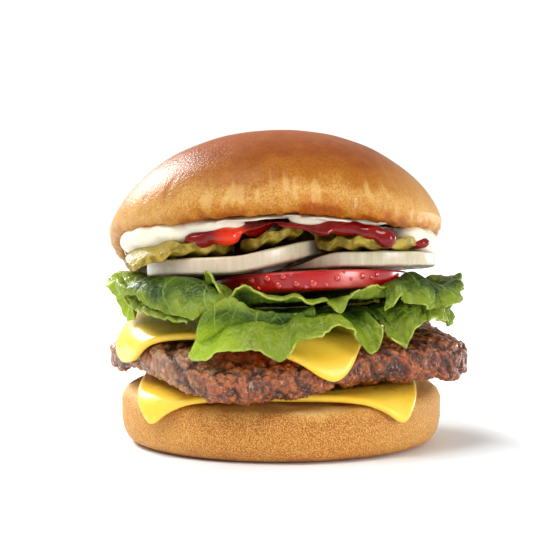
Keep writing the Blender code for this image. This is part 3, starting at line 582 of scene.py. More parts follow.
def offset_path(points, distance):
    """A line of (across, height) moved outwards by distance, with its running length."""
    line = np.array(points, float)
    along = np.gradient(line, axis=0)
    along /= np.linalg.norm(along, axis=1)[:, None]
    moved = line + distance * np.stack([-along[:, 1], along[:, 0]], axis=1)
    steps = np.linalg.norm(np.diff(moved, axis=0), axis=1)
    return moved, np.concatenate([[0.0], np.cumsum(steps)])


def over_heel(x, y):
    """Lays a flat point on the heel: flat on its cut face, then down over its rim."""
    shoulder = [(r, z * HEEL_HEIGHT) for r, z in HEEL_PROFILE[2:10]]
    moved, length = offset_path(shoulder, DRAPE_GAP + BEND_LIFT + CHEESE_THICKNESS / 2)
    start = shoulder[0][0]
    reach = np.maximum(np.hypot(x, y), 0.01)
    across = np.where(reach <= start, reach, np.interp(reach - start, length, moved[:, 0]))
    px, py = x * across / reach, y * across / reach
    bend = BEND_LIFT * smooth_step(start - BEND_WIDTH, start, reach)
    flat = heel_top(x, y) + DRAPE_GAP + bend + CHEESE_THICKNESS / 2
    hanging = np.interp(reach - start, length, moved[:, 1]) * heel_top(px, py) / HEEL_HEIGHT
    return np.stack([px, py, np.where(reach <= start, flat, hanging)], axis=-1)


def patty_bottom(x, y):
    carried = heel_top(x, y) + DRAPE_GAP + CHEESE_THICKNESS + 2 * GAP
    carried = carried + BEND_LIFT * smooth_step(*PATTY_ON_CHEESE, np.hypot(x, y))
    past_cheese = np.maximum(np.abs(x), np.abs(y)) - CHEESE_SIDE / 2
    sag = PATTY_SAG + PATTY_LEFT_SAG * smooth_step(*PATTY_LEFT, x)
    sag = sag * smooth_step(*PATTY_SAG_START, past_cheese)
    front = PATTY_FRONT_SAG * smooth_step(*PATTY_FRONT_Y, y) * smooth_step(*PATTY_FRONT_X, x)
    return carried - np.maximum(sag, front)


def patty_top(x, y):
    fuller = PATTY_LEFT_FULLER * smooth_step(*PATTY_LEFT, x)
    return patty_bottom(x, y) + PATTY_THICKNESS + PATTY_RISE * x + fuller


def patty_norm(x, y):
    """Distance from the patty's middle, measured so that its outline is at PATTY_HALF."""
    turn = math.radians(PATTY_TURN)
    dx, dy = x - PATTY_CENTRE[0], y - PATTY_CENTRE[1]
    u = np.abs(dx * math.cos(turn) + dy * math.sin(turn))
    v = np.abs(-dx * math.sin(turn) + dy * math.cos(turn))
    return (u**PATTY_POWER + v**PATTY_POWER) ** (1 / PATTY_POWER)


def over_patty(x, y):
    """Lays a flat point on the patty: flat on its top, then down over its side."""
    half_thick = PATTY_THICKNESS / 2
    turn = np.radians(np.linspace(60, 2, 25))
    reach, height = np.cos(turn) ** PATTY_EDGE, np.sin(turn) ** PATTY_EDGE
    rim = np.stack([PATTY_HALF * reach, half_thick * height], axis=1)
    moved, length = offset_path(rim, DRAPE_GAP + BEND_LIFT + CHEESE_THICKNESS / 2)
    for spent, drop in PATTY_HANG:
        moved = np.vstack([moved, moved[-1] - (0, drop)])
        length = np.append(length, length[-1] + spent)
    start, flat = rim[0][0], moved[0][1]
    norm = np.maximum(patty_norm(x, y), 0.01)
    share = np.where(norm <= start, 1.0, np.interp(norm - start, length, moved[:, 0]) / norm)
    px = PATTY_CENTRE[0] + (x - PATTY_CENTRE[0]) * share
    py = PATTY_CENTRE[1] + (y - PATTY_CENTRE[1]) * share
    lift = DRAPE_GAP + BEND_LIFT * smooth_step(start - BEND_WIDTH, start, norm) + CHEESE_THICKNESS / 2
    drop = np.where(norm <= start, 0.0, np.interp(norm - start, length, moved[:, 1]) - flat)
    return np.stack([px, py, patty_top(px, py) + lift + drop], axis=-1)


def thicken(obj, thickness):
    """Gives a sheet its thickness, half on each side."""
    solidify = obj.modifiers.new("thickness", "SOLIDIFY")
    solidify.thickness = thickness * MM
    solidify.offset = 0.0


def make_cheese(name, node, centre, turn, drape, seed):
    """A square slice laid over what carries it, slightly uneven."""
    half = CHEESE_SIDE / 2
    share = np.linspace(-1, 1, CHEESE_CELLS + 1)
    x, y = np.meshgrid(share * half, share * half)
    over_x = np.maximum(0.0, np.abs(x) - (half - CHEESE_CORNER))
    over_y = np.maximum(0.0, np.abs(y) - (half - CHEESE_CORNER))
    shrink = np.maximum(over_x, over_y) / np.maximum(np.hypot(over_x, over_y), 0.001)
    corner = (over_x > 0) & (over_y > 0)
    x = np.where(corner, np.sign(x) * (half - CHEESE_CORNER + over_x * shrink), x)
    y = np.where(corner, np.sign(y) * (half - CHEESE_CORNER + over_y * shrink), y)
    x, y = turned(x, y, turn)
    laid = drape(centre[0] + x, centre[1] + y)
    obj = new_piece(name, node, laid.reshape(-1, 3), sheet_faces(*x.shape), cheese_finish(), "cheese")
    raise_surface(obj, 0.22 * cloud(points_of(obj.data), 15, seed))
    thicken(obj, CHEESE_THICKNESS)
    soften = obj.modifiers.new("soft_edge", "SUBSURF")
    soften.levels = soften.render_levels = 1
    return obj


def room_under(cheeses, points):
    """How far each point may rise before it meets a cheese slice."""
    furthest = 6.0
    room = np.full(len(points), furthest)
    for cheese in cheeses:
        middle = points_of(cheese.data)
        tree = BVHTree.FromPolygons(middle.tolist(), [tuple(face.vertices) for face in cheese.data.polygons])
        found = [tree.find_nearest(Vector(point), furthest)[3] for point in points.tolist()]
        away = np.array([furthest if distance is None else distance for distance in found])
        room = np.minimum(room, away - CHEESE_THICKNESS / 2 - GAP)
    return room


def make_patty(cheeses):
    reach, share = slice_profile(PATTY_EDGE, PATTY_FACE_RINGS, PATTY_RIM_RINGS)
    angle = np.linspace(-np.pi, np.pi, PATTY_AROUND, endpoint=False)[None, :]
    powers = np.abs(np.cos(angle)) ** PATTY_POWER + np.abs(np.sin(angle)) ** PATTY_POWER
    radius = PATTY_HALF * powers ** (-1 / PATTY_POWER) * reach
    x = PATTY_CENTRE[0] + radius * np.cos(angle + math.radians(PATTY_TURN))
    y = PATTY_CENTRE[1] + radius * np.sin(angle + math.radians(PATTY_TURN))
    low, high = patty_bottom(x, y), patty_top(x, y)
    rows = np.stack([x, y, low + (high - low) * share], axis=-1)
    obj = new_piece("beef_patty", "patty", *ring_body(rows), patty_finish(), "patty")
    points = points_of(obj.data)
    warp = np.stack([cloud(points, 5, 50 + k) for k in range(3)], axis=1)
    first, second = grains((points + 1.6 * warp) * (1, 1, 1.1), PATTY_MEAT, 5)
    crumb = grains(points + 0.8 * warp, PATTY_CRUMBS, 6)[0]
    crag = 0.9 * cloud(points, 7, 55) - 1.1 * smooth_step(0.25, 0.0, np.abs(cloud(points, 8, 56)))
    crag = crag + 0.9 * (0.6 - first) - 0.35 * smooth_step(0.2, 0.0, second - first)
    crag = crag + 0.35 * (0.55 - crumb) + 0.3 * cloud(points, 1.6, 57) + 0.14 * cloud(points, 0.8, 58)
    raise_surface(obj, np.minimum(crag, room_under(cheeses, points)))
    mark(obj, "crag", crag)
    # Where the patty is coloured greyer and lighter: its left side, below its top
    mark(obj, "seared", smooth_step(-12.0, -36.0, points[:, 0]) * smooth_step(40.0, 34.0, points[:, 2]))
    return obj


def heap_lean(y):
    return -HEAP_SLOPE * (y - HEAP_FRONT)


def tomato_face(face, x, y):
    across = (x - TOMATO_CENTRE[0]) / TOMATO_RADIUS
    return face[0] + face[1] * across + face[2] * across**2 + heap_lean(y)


def tomato_bottom(x, y):
    return tomato_face(TOMATO_BOTTOM, x, y)


def tomato_top(x, y):
    return tomato_face(TOMATO_TOP, x, y)


def tomato_outline(angle):
    return TOMATO_RADIUS * (1 + 0.012 * np.cos(np.radians(3 * angle)))


def make_tomato():
    rows = round_slice(TOMATO_CENTRE, tomato_outline, tomato_bottom, tomato_top, *TOMATO_MESH)
    obj = new_piece("tomato_slice", "tomato", *ring_body(rows), tomato_finish(), "tomato")
    points = points_of(obj.data)
    raise_surface(obj, 0.12 * cloud(points, 9, 61) - 0.05)
    mark(obj, "reach", away_from(TOMATO_CENTRE, points[:, 0], points[:, 1]) / TOMATO_RADIUS)
    return obj


def ball(centre, radii, rings=14, around=24):
    """Rings of an egg-shaped body."""
    turn = np.linspace(0, np.pi, rings + 2)[1:-1, None]
    angle = np.linspace(0, 2 * np.pi, around, endpoint=False)[None, :]
    x = centre[0] + radii[0] * np.sin(turn) * np.sin(angle)
    y = centre[1] - radii[1] * np.sin(turn) * np.cos(angle)
    return np.stack([x, y, centre[2] + radii[2] * np.cos(turn) + 0 * angle], axis=-1)


def make_drops():
    """Water drops on the tomato's skin, each a little taller than wide."""
    all_points, all_faces, count = [], [], 0
    for angle, share, radius in DROPS:
        outline = tomato_outline(angle) + 0.15
        radius = DROP_SIZE * radius
        x = TOMATO_CENTRE[0] + outline * math.sin(math.radians(angle))
        y = TOMATO_CENTRE[1] - outline * math.cos(math.radians(angle))
        z = tomato_bottom(x, y) + share * (tomato_top(x, y) - tomato_bottom(x, y))
        points, faces = ring_body(ball((0, 0, 0), (radius, radius * 0.55, radius * 1.1)))
        across, back = turned(points[:, 0], points[:, 1], angle)
        all_points.append(np.stack([across, back, points[:, 2]], axis=1) + (x, y, z))
        all_faces += [tuple(corner + count for corner in face) for face in faces]
        count += len(points)
    return new_piece("water_drops", None, np.vstack(all_points), all_faces, water_finish(), "tomato")


def onion_right_bottom(x, y):
    return ONION_RIGHT_BOTTOM + ONION_RIGHT_RISE * x + heap_lean(y)


def onion_right_top(x, y):
    thin = ONION_RIGHT_THIN * smooth_step(*ONION_RIGHT_BEND, x)
    return onion_right_bottom(x, y) + ONION_RIGHT_THICKNESS - thin


def onion_left_bottom(x, y):
    past_bend = x - ONION_LEFT_BEND
    rise = ONION_LEFT_RISE * (past_bend + np.hypot(past_bend, ONION_LEFT_SOFT)) / 2
    return ONION_LEFT_BOTTOM + rise + heap_lean(y)


def onion_left_top(x, y):
    return onion_left_bottom(x, y) + ONION_LEFT_THICKNESS


def onions_top(x, y):
    """The upper surface of the two onion slices together."""
    reach = away_from(ONION_LEFT_CENTRE, x, y) / ONION_LEFT_RADIUS
    left = onion_left_top(x, y)
    right = onion_right_top(x, y)
    at_left, at_right = (smooth_step(*limits, reach) for limits in (ONION_STEP_LEFT, ONION_STEP_RIGHT))
    step = np.where(x < ONION_LEFT_CENTRE[0], at_left, at_right)
    return right + np.maximum(left - right, 0) * step


def make_onion(name, node, centre, radius, bottom, top, seed):
    rows = round_slice(centre, lambda angle: radius + 0 * angle, bottom, top, *ONION_MESH)
    obj = new_piece(name, node, *ring_body(rows), onion_finish(), "onion")
    points = points_of(obj.data)
    reach = away_from(centre, points[:, 0], points[:, 1])
    rings = ONION_GROOVE * np.maximum(0, np.cos(2 * np.pi * reach / ONION_RING)) ** 6
    rings = rings * smooth_step(radius - 0.5, radius - 2, reach)
    raise_surface(obj, 0.16 * cloud(points, 8, seed) - rings)
    mark(obj, "reach", reach)
    return obj


def crinkle(x, y, turn):
    """The wave that a crinkle cutter leaves across a slice."""
    along = x * math.cos(turn) + y * math.sin(turn)
    return CRINKLE_DEPTH * np.sin(2 * np.pi * along / CRINKLE_PITCH)


def pickle_bottom(pickle, x, y):
    lift = pickle["roll"] * (x - pickle["centre"][0] + pickle["radius"])
    past_onion = away_from(ONION_LEFT_CENTRE, x, y) - ONION_LEFT_RADIUS
    lift = lift - PICKLE_DROOP * smooth_step(1.5, 10.0, past_onion) * smooth_step(-26.0, -34.0, y) * (x < 0)
    return onions_top(x, y) + 1.7 * GAP + CRINKLE_DEPTH + lift + crinkle(x, y, pickle["turn"])


def pickle_top(pickle, x, y):
    return pickle_bottom(pickle, x, y) + PICKLE_THICKNESS


def make_pickle(name, seed):
    """A crinkled slice lying on the onions, with a knobbly skin round its rim."""
    pickle = PICKLES[name]

    def outline(angle):
        return pickle["radius"] * (1 + 0.02 * np.cos(np.radians(2 * angle + 40)))

    bottom, top = partial(pickle_bottom, pickle), partial(pickle_top, pickle)
    rows = round_slice(pickle["centre"], outline, bottom, top, *PICKLE_MESH)
    full_name = name.replace("pickle", "pickle_slice")
    obj = new_piece(full_name, name, *ring_body(rows), pickle_finish(), "pickle")
    points = points_of(obj.data)
    reach = away_from(pickle["centre"], points[:, 0], points[:, 1]) / pickle["radius"]
    rim = smooth_step(0.93, 0.99, reach)
    warts = (0.45 * clouds(points, 3.6, 2, seed) - 0.15) * rim
    raise_surface(obj, warts + 0.12 * cloud(points, 2.5, seed + 3))
    mark(obj, "rim", rim)
    return obj


def toppings_top(x, y):
    """The highest surface of the onions and pickles under the sauces, with a margin round each slice."""
    past_left = away_from(ONION_LEFT_CENTRE, x, y) - ONION_LEFT_RADIUS
    past_right = away_from(ONION_RIGHT_CENTRE, x, y) - ONION_RIGHT_RADIUS
    highest = onions_top(x, y) - 30 * smooth_step(2.0, 14.0, np.minimum(past_left, past_right))
    for pickle in PICKLES.values():
        away = away_from(pickle["centre"], x, y) - pickle["radius"]
        above = pickle_top(pickle, x, y) + 1.3 - highest
        highest = highest + np.maximum(0.0, above) * smooth_step(4.0, 2.0, away)
    return highest


def mayo_radius(angle):
    return MAYO_RADIUS + hills(angle, MAYO_BULGES)


def ketchup_radius(angle):
    return KETCHUP_RADIUS + hills(angle, KETCHUP_BULGES)


def sauce_thickness(thin, x, y, lumps):
    return thin + smooth_step(30, 43, np.hypot(x, y)) * hills(front_angle(x, y), lumps)


def mayo_top(x, y):
    return crown_under(x, y) - GAP - 0.15


def mayo_bottom(x, y):
    above_toppings = toppings_top(x, y) + GAP + SAUCE_GAP + SAUCE_LEAST
    return np.maximum(mayo_top(x, y) - sauce_thickness(MAYO_THICKNESS, x, y, MAYO_LUMPS), above_toppings)


def ketchup_top(x, y):
    return mayo_bottom(x, y) - SAUCE_GAP


def ketchup_bottom(x, y):
    thick = ketchup_top(x, y) - sauce_thickness(KETCHUP_THICKNESS, x, y, KETCHUP_LUMPS)
    return np.maximum(thick, toppings_top(x, y) + GAP)


def make_sauce(name, node, radius, bottom, top, blobs, material):
    """A layer under the crown with rounded blobs at its rim, run together into one smooth body."""
    layer = round_slice(CROWN_PLACE[:2], radius, bottom, top, *SAUCE_MESH)
    points, faces = ring_body(layer)
    for centre, radii in blobs:
        more, more_faces = ring_body(ball(centre, radii))
        faces += [tuple(corner + len(points) for corner in face) for face in more_faces]
        points = np.vstack([points, more])
    rough = bpy.data.objects.new(name + "_parts", bpy.data.meshes.new(name + "_parts"))
    rough.data.from_pydata((points * MM).tolist(), [], faces)
    bpy.context.scene.collection.objects.link(rough)
    melt = rough.modifiers.new("run_together", "REMESH")
    melt.mode = "VOXEL"
    melt.voxel_size = SAUCE_VOXEL * MM
    soften = rough.modifiers.new("soften", "SMOOTH")
    soften.factor = 0.5
    soften.iterations = SAUCE_SOFTENING
    bpy.context.view_layer.update()
    merged = bpy.data.meshes.new_from_object(rough.evaluated_get(bpy.context.evaluated_depsgraph_get()))
    bpy.data.objects.remove(rough, do_unlink=True)
    merged.name = name
    merged.materials.clear()
    merged.materials.append(material)
    merged.shade_smooth()
    obj = bpy.data.objects.new(name, merged)
    bpy.context.scene.collection.objects.link(obj)
    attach(obj, "root")
    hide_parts(node)
    # Where the ketchup's painted light goes: round the middle of its lit blob
    near = np.linalg.norm(points_of(merged) - np.array(FRESH_KETCHUP), axis=1)
    mark(obj, "fresh", smooth_step(6.5, 3.0, near))
    return obj


def along_list(points, azimuth):
    """Reach and height at an azimuth, on a smooth curve through points of (azimuth, reach, height)."""
    table = np.array(points, float)
    last = len(table) - 2
    k = np.clip(np.searchsorted(table[:, 0], azimuth, "right") - 1, 0, last)
    before, after = np.maximum(k - 1, 0), np.minimum(k + 2, last + 1)
    width = table[k + 1, 0] - table[k, 0]
    t = (azimuth - table[k, 0]) / width
    found = []
    for column in (1, 2):
        value = table[:, column]
        rise_a = (value[k + 1] - value[before]) / (table[k + 1, 0] - table[before, 0]) * width
        rise_b = (value[after] - value[k]) / (table[after, 0] - table[k, 0]) * width
        found.append(
            (2 * t**3 - 3 * t**2 + 1) * value[k] + (t**3 - 2 * t**2 + t) * rise_a
            + (3 * t**2 - 2 * t**3) * value[k + 1] + (t**3 - t**2) * rise_b
        )
    return found


def under_heap(x, y):
    """The most that a leaf's middle may rise to: it stays below the tomato and the onions."""
    limit = 1000.0
    for centre, radius, bottom in (
        (TOMATO_CENTRE, TOMATO_RADIUS, tomato_bottom),
        (ONION_RIGHT_CENTRE, ONION_RIGHT_RADIUS, onion_right_bottom),
        (ONION_LEFT_CENTRE, ONION_LEFT_RADIUS, onion_left_bottom),
    ):
        away = away_from(centre, x, y) - radius
        past_slice = 20 * smooth_step(2.5, 10.0, away)
        limit = np.minimum(limit, bottom(x, y) - SOLID_LEAF_THICKNESS / 2 - LEAF_CLEARANCE + past_slice)
    return limit


def softly_under(height, limit):
    return (height + limit - np.hypot(height - limit, 0.8)) / 2


def bezier(points, t):
    """A value on the cubic curve of four control values."""
    a, b, c, d = points
    s = 1 - t
    return s**3 * a + 3 * s * s * t * b + 3 * s * t * t * c + t**3 * d


def leaf_rows(leaf, across, out):
    """Points of a leaf: across from 0 to 1 round its span, out from 0 at its root to 1 at its edge."""
    low, high = leaf["edge"][0][0], leaf["edge"][-1][0]
    azimuth = low + (high - low) * across
    edge_reach, edge_height = along_list(leaf["edge"], azimuth)
    crest_reach, crest_height = along_list(leaf["crest"], azimuth)
    (in_a, up_a), (in_b, up_b) = LEAF_BENDS
    reach = bezier((LEAF_ROOT, crest_reach + in_a, crest_reach + in_b, edge_reach), out)
    height = bezier((leaf["root"], crest_height + up_a, crest_height + up_b, edge_height), out)
    angle = np.radians(azimuth)
    x, y = reach * np.sin(angle), -reach * np.cos(angle)
    limit = under_heap(x, y) - leaf["below"]
    return np.stack([x, y, softly_under(height + HEEL_PITCH * y * (1 - out), limit)], axis=-1)


def fold_rows(fold, columns, rows):
    """Points of a layer that bulges outwards between its start and its free edge."""
    start, end = smooth_curve(fold["start"], columns), smooth_curve(fold["end"], columns)
    out = np.linspace(0, 1, rows)[:, None]
    azimuth, reach, height = (start[:, k] + (end[:, k] - start[:, k]) * out for k in range(3))
    reach = reach + FOLD_OUT * np.sin(np.pi * out)
    height = height + FOLD_UP * np.sin(np.pi * out)
    angle = np.radians(azimuth)
    return np.stack([reach * np.sin(angle), -reach * np.cos(angle), height], axis=-1)


def crumpled(rows, leaf, folded_from):
    """A leaf's points with folds that run out to its ragged edge and blisters between its veins.

    With them comes what its finish reads: how far out each point is, and how far from a vein and from a rib.
    """
    out = np.linspace(0, 1, rows.shape[0])[:, None] ** 0.8 + 0 * rows[..., 0]
    across, outward = np.gradient(rows, axis=1), np.gradient(rows, axis=0)
    side, down = unit(across), unit(outward)
    normal = np.cross(side, down)
    normal = unit(normal) * np.sign(normal[..., 2:].mean())
    along = np.cumsum(np.linalg.norm(across, axis=-1)[-1])[None, :] + 0 * out
    fallen = np.cumsum(np.linalg.norm(outward, axis=-1), axis=0)
    seed, frill = leaf["seed"], leaf["frill"]

    def folds(width, length, number):
        return cloud(np.stack([along / width, fallen / length, 0 * along], axis=-1), 1.0, seed + number)

    grow = smooth_step(folded_from, 1.0, out)
    fold = 2.3 * folds(8.5, 22, 0) * grow + 1.1 * folds(3.6, 13, 4) * grow**2
    sway = 1.8 * folds(6.5, 16, 8) * grow
    ragged = (1.1 * folds(5.0, 9, 12) + 0.4 * folds(1.7, 5, 16)) * smooth_step(0.8, 1.0, out)
    bent = rows * (1, 1, 0.8) + 1.2 * cloud(rows, 5, seed + 5)[..., None]
    first, second = grains(bent, leaf["puckers"], seed)
    blister = leaf["blister"] * ((0.5 - first) - 0.4 * smooth_step(0.22, 0.0, second - first))
    blister = blister + 0.35 * leaf["blister"] * cloud(rows, 2.0, seed + 2)
    lift = frill * fold + blister * smooth_step(0.2, 0.5, out)
    rows = rows + normal * lift[..., None] + side * (frill * sway)[..., None] + down * ragged[..., None]
    ribs = np.abs((along / RIB_PITCH + 0.35 * folds(9.0, 14, 20)) % 1 - 0.5) * RIB_PITCH
    return rows, out, second - first, ribs


def make_leaf(name):
    """A thin leaf with a frilled edge, and the layer of it that is folded over it where there is one."""
    leaf = LEAVES[name]
    across, out = np.meshgrid(np.linspace(0, 1, leaf["columns"]), np.linspace(0, 1, LEAF_ROWS) ** 0.8)
    sheets = [crumpled(leaf_rows(leaf, across, out), leaf, 0.45)]
    if name in LEAF_FOLDS:
        layer = fold_rows(LEAF_FOLDS[name], FOLD_COLUMNS, FOLD_ROWS)
        sheets.append(crumpled(layer, {**leaf, "seed": leaf["seed"] + FOLD_SEED}, 0.0))
    points, faces, marks = [], [], {"out": [], "vein": [], "rib": []}
    for rows, *values in sheets:
        start = sum(len(part) for part in points)
        faces += [tuple(corner + start for corner in face) for face in sheet_faces(*rows.shape[:2])]
        points.append(np.clip(rows.reshape(-1, 3), LEAST, MOST))
        for key, value in zip(marks, values):
            marks[key].append(value.ravel())
    leaf_name = name.replace("lettuce", "leaf")
    obj = new_piece(leaf_name, name, np.vstack(points), faces, lettuce_finish(), "lettuce")
    for key, values in marks.items():
        mark(obj, key, np.concatenate(values))
    thicken(obj, LEAF_THICKNESS)
    return obj


def linear(red, green, blue):
    """A colour as a screen shows it, from 0 to 255, as shader values."""
    shares = [value / 255 for value in (red, green, blue)]
    return tuple(s / 12.92 if s <= 0.04045 else ((s + 0.055) / 1.055) ** 2.4 for s in shares) + (1.0,)


class Wire:
    """A shader socket that works in sums like a number."""

    def __init__(self, finish, socket):
        self.finish, self.socket = finish, socket

    def __add__(self, other):
        return self.finish.maths("ADD", self, other)

    def __sub__(self, other):
        return self.finish.maths("SUBTRACT", self, other)

    def __rsub__(self, other):
        return self.finish.maths("SUBTRACT", other, self)

    def __mul__(self, other):
        return self.finish.maths("MULTIPLY", self, other)

    __radd__, __rmul__ = __add__, __mul__


class Finish:
    """A material under construction. node() adds any node, and the other methods are the common ones."""

    def __init__(self, name):
        self.material = bpy.data.materials.new(name)
        self.material.use_nodes = True
        self.tree = self.material.node_tree
        self.surface = self.tree.nodes["Principled BSDF"]
        self.coordinates = self.node("ShaderNodeTexCoord", output="Object")

    def node(self, kind, settings=None, sockets=None, output=0):
        """Adds a node, sets its settings, then its sockets, and returns one of its outputs."""
        made = self.tree.nodes.new(kind)
        for key, value in (settings or {}).items():
            if key == "stops":
                self.set_stops(made.color_ramp, value)
            else:
                setattr(made, key, value)
        for key, value in (sockets or {}).items():
            self.put(made.inputs[key], value)
        return Wire(self, made.outputs[output])

    def set_stops(self, ramp, stops):
        while len(ramp.elements) < len(stops):
            ramp.elements.new(0.5)
        for element, (place, colour) in zip(ramp.elements, stops):
            element.position, element.color = place, linear(*colour)

    def put(self, socket, value):
        if isinstance(value, Wire):
            self.tree.links.new(value.socket, socket)
        else:
            socket.default_value = value

    def maths(self, operation, a, b, limit=False):
        return self.node("ShaderNodeMath", {"operation": operation, "use_clamp": limit}, {0: a, 1: b})

    def limited(self, value):
        return self.maths("ADD", value, 0.0, limit=True)

    def step(self, low, high, value):
        """0 below low, 1 above high and smooth between."""
        settings = {"interpolation_type": "SMOOTHSTEP"}
        return self.node("ShaderNodeMapRange", settings, {"Value": value, "From Min": low, "From Max": high})

    def mix(self, share, a, b):
        """A colour between a and b, each a link or a colour as a screen shows it, from 0 to 255."""
        a, b = (colour if isinstance(colour, Wire) else linear(*colour) for colour in (a, b))
        return self.node("ShaderNodeMix", {"data_type": "RGBA"}, {0: share, 6: a, 7: b}, 2)

    def noise(self, size, detail=2.0, roughness=0.5, stretch=None, seed=0.0):
        """Noise of about 0 to 1, in the middle near 0.5, whose hills are size millimetres across."""
        place = self.coordinates
        if stretch or seed:
            sockets = {"Scale": stretch or (1, 1, 1), "Location": (seed, seed, seed)}
            place = self.node("ShaderNodeMapping", {}, {"Vector": place, **sockets})
        sockets = {"Vector": place, "Scale": 1 / (size * MM), "Detail": detail, "Roughness": roughness}
        return self.node("ShaderNodeTexNoise", {}, sockets)

    def cells(self, size, feature="F1"):
        sockets = {"Vector": self.coordinates, "Scale": 1 / (size * MM)}
        return self.node("ShaderNodeTexVoronoi", {"feature": feature}, sockets)

    def marked(self, name):
        return self.node("ShaderNodeAttribute", {"attribute_name": name}, output="Fac")

    def along(self, axis):
        """Millimetres from the origin to the right, the back or up, for "X", "Y" or "Z"."""
        return self.node("ShaderNodeSeparateXYZ", {}, {"Vector": self.coordinates}, axis) * (1 / MM)

    def from_middle(self):
        """Millimetres to the left or right of the middle."""
        return self.maths("ABSOLUTE", self.along("X"), 0.0)

    def bump(self, height, depth):
        """Relief from a height of 0 to 1 that is depth millimetres deep."""
        return self.node("ShaderNodeBump", {}, {"Height": height, "Distance": depth * MM})

    def made(self, **sockets):
        """Sets the surface's sockets, each named in words joined by _, and returns the material."""
        for name, value in sockets.items():
            self.put(self.surface.inputs[name.replace("_", " ")], value)
        return self.material


def subsurface(finish, weight, radius, scale):
    """Light that goes into the food: how far red, green and blue go, as shares of scale millimetres."""
    sockets = finish.surface.inputs
    sockets["Subsurface Weight"].default_value = weight
    sockets["Subsurface Radius"].default_value = radius
    sockets["Subsurface Scale"].default_value = scale * MM


def bun_crown_finish():
    """Egg-washed crust: brown on top, golden down the side, orange at the cut, with a fine pebbled skin and
    a painted sheen on its left and right sides.
    """
    skin = Finish("egg_washed_crust")
    height = skin.marked("height") + (skin.noise(13, 4, 0.65) - 0.5) * 0.5
    side = skin.node("ShaderNodeValToRGB", {"stops": [
        (0.0, (158, 74, 10)), (0.05, (190, 120, 36)), (0.15, (208, 158, 84)),
        (0.3, (168, 104, 32)), (0.55, (140, 70, 8)), (1.0, (172, 84, 6)),
    ]}, {"Fac": height})
    speckle = skin.step(0.4, 0.66, skin.noise(0.6, 2.0, 0.8))
    crust = skin.mix(speckle * 0.5, side, (116, 50, 6))
    crust = skin.mix(skin.step(0.4, 0.8, skin.noise(4.5, 3.0)) * 0.2, crust, (196, 124, 44))
    # Painted sheen: the crust is painted paler towards its left and right sides, as highlights
    sides = skin.step(24.0, 50.0, skin.from_middle())
    crust = skin.mix(sides * 0.4, crust, (228, 178, 104))
    crust = skin.mix(skin.step(0.1, 0.9, skin.marked("wrinkle")) * 0.4, crust, (224, 184, 118))
    crumb = skin.mix(skin.noise(1.6, 3.0), (176, 104, 40), (214, 160, 96))
    colour = skin.mix(skin.marked("crust"), crumb, crust)
    pebble = skin.noise(0.7, 2.0, 0.6) * 0.7 + skin.cells(1.1) * 0.3
    return skin.made(
        Base_Color=colour, Roughness=skin.noise(3.0, 2.0) * 0.14 + 0.3, Normal=skin.bump(pebble, 0.24),
        Coat_Weight=0.04, Coat_Roughness=0.3, Specular_IOR_Level=0.12,
    )


def bun_heel_finish():
    """Dry golden crust with a sandy grain, paler at its shoulder and darker at its foot, with painted light
    on its left and right flanks.
    """
    skin = Finish("golden_crust")
    height = (skin.along("Z") + (skin.noise(9, 4, 0.6) - 0.5) * 11) * (1 / HEEL_HEIGHT)
    side = skin.node("ShaderNodeValToRGB", {"stops": [
        (0.0, (158, 66, 10)), (0.1, (184, 108, 34)), (0.45, (184, 110, 30)),
        (0.72, (170, 92, 20)), (0.88, (206, 146, 70)), (1.0, (226, 190, 128)),
    ]}, {"Fac": height})
    grain = skin.noise(0.42, 2.0, 0.8)
    # Painted light: the crust is painted paler towards its left and right flanks
    sides = skin.step(16.0, 46.0, skin.from_middle())
    colour = skin.mix(sides * 0.5, side, (216, 160, 80))
    colour = skin.mix(skin.step(0.45, 0.6, grain) * 0.55, colour, (242, 198, 110))
    colour = skin.mix(skin.step(0.5, 0.36, grain) * 0.45, colour, (136, 64, 14))
    return skin.made(
        Base_Color=colour, Roughness=skin.noise(2.0) * 0.2 + 0.5, Normal=skin.bump(grain, 0.28),
        Specular_IOR_Level=0.3,
    )


def cheese_finish():
    """Smooth melted cheese, a little paler in places."""
    cheese = Finish("melted_cheese")
    colour = cheese.mix(cheese.noise(14, 2), (252, 196, 36), (255, 216, 84))
    subsurface(cheese, 0.35, (1.0, 0.6, 0.15), 2.0)
    return cheese.made(
        Base_Color=colour, Roughness=cheese.noise(5, 2) * 0.14 + 0.22,
        Normal=cheese.bump(cheese.noise(4, 2), 0.12), Specular_IOR_Level=0.5,
    )


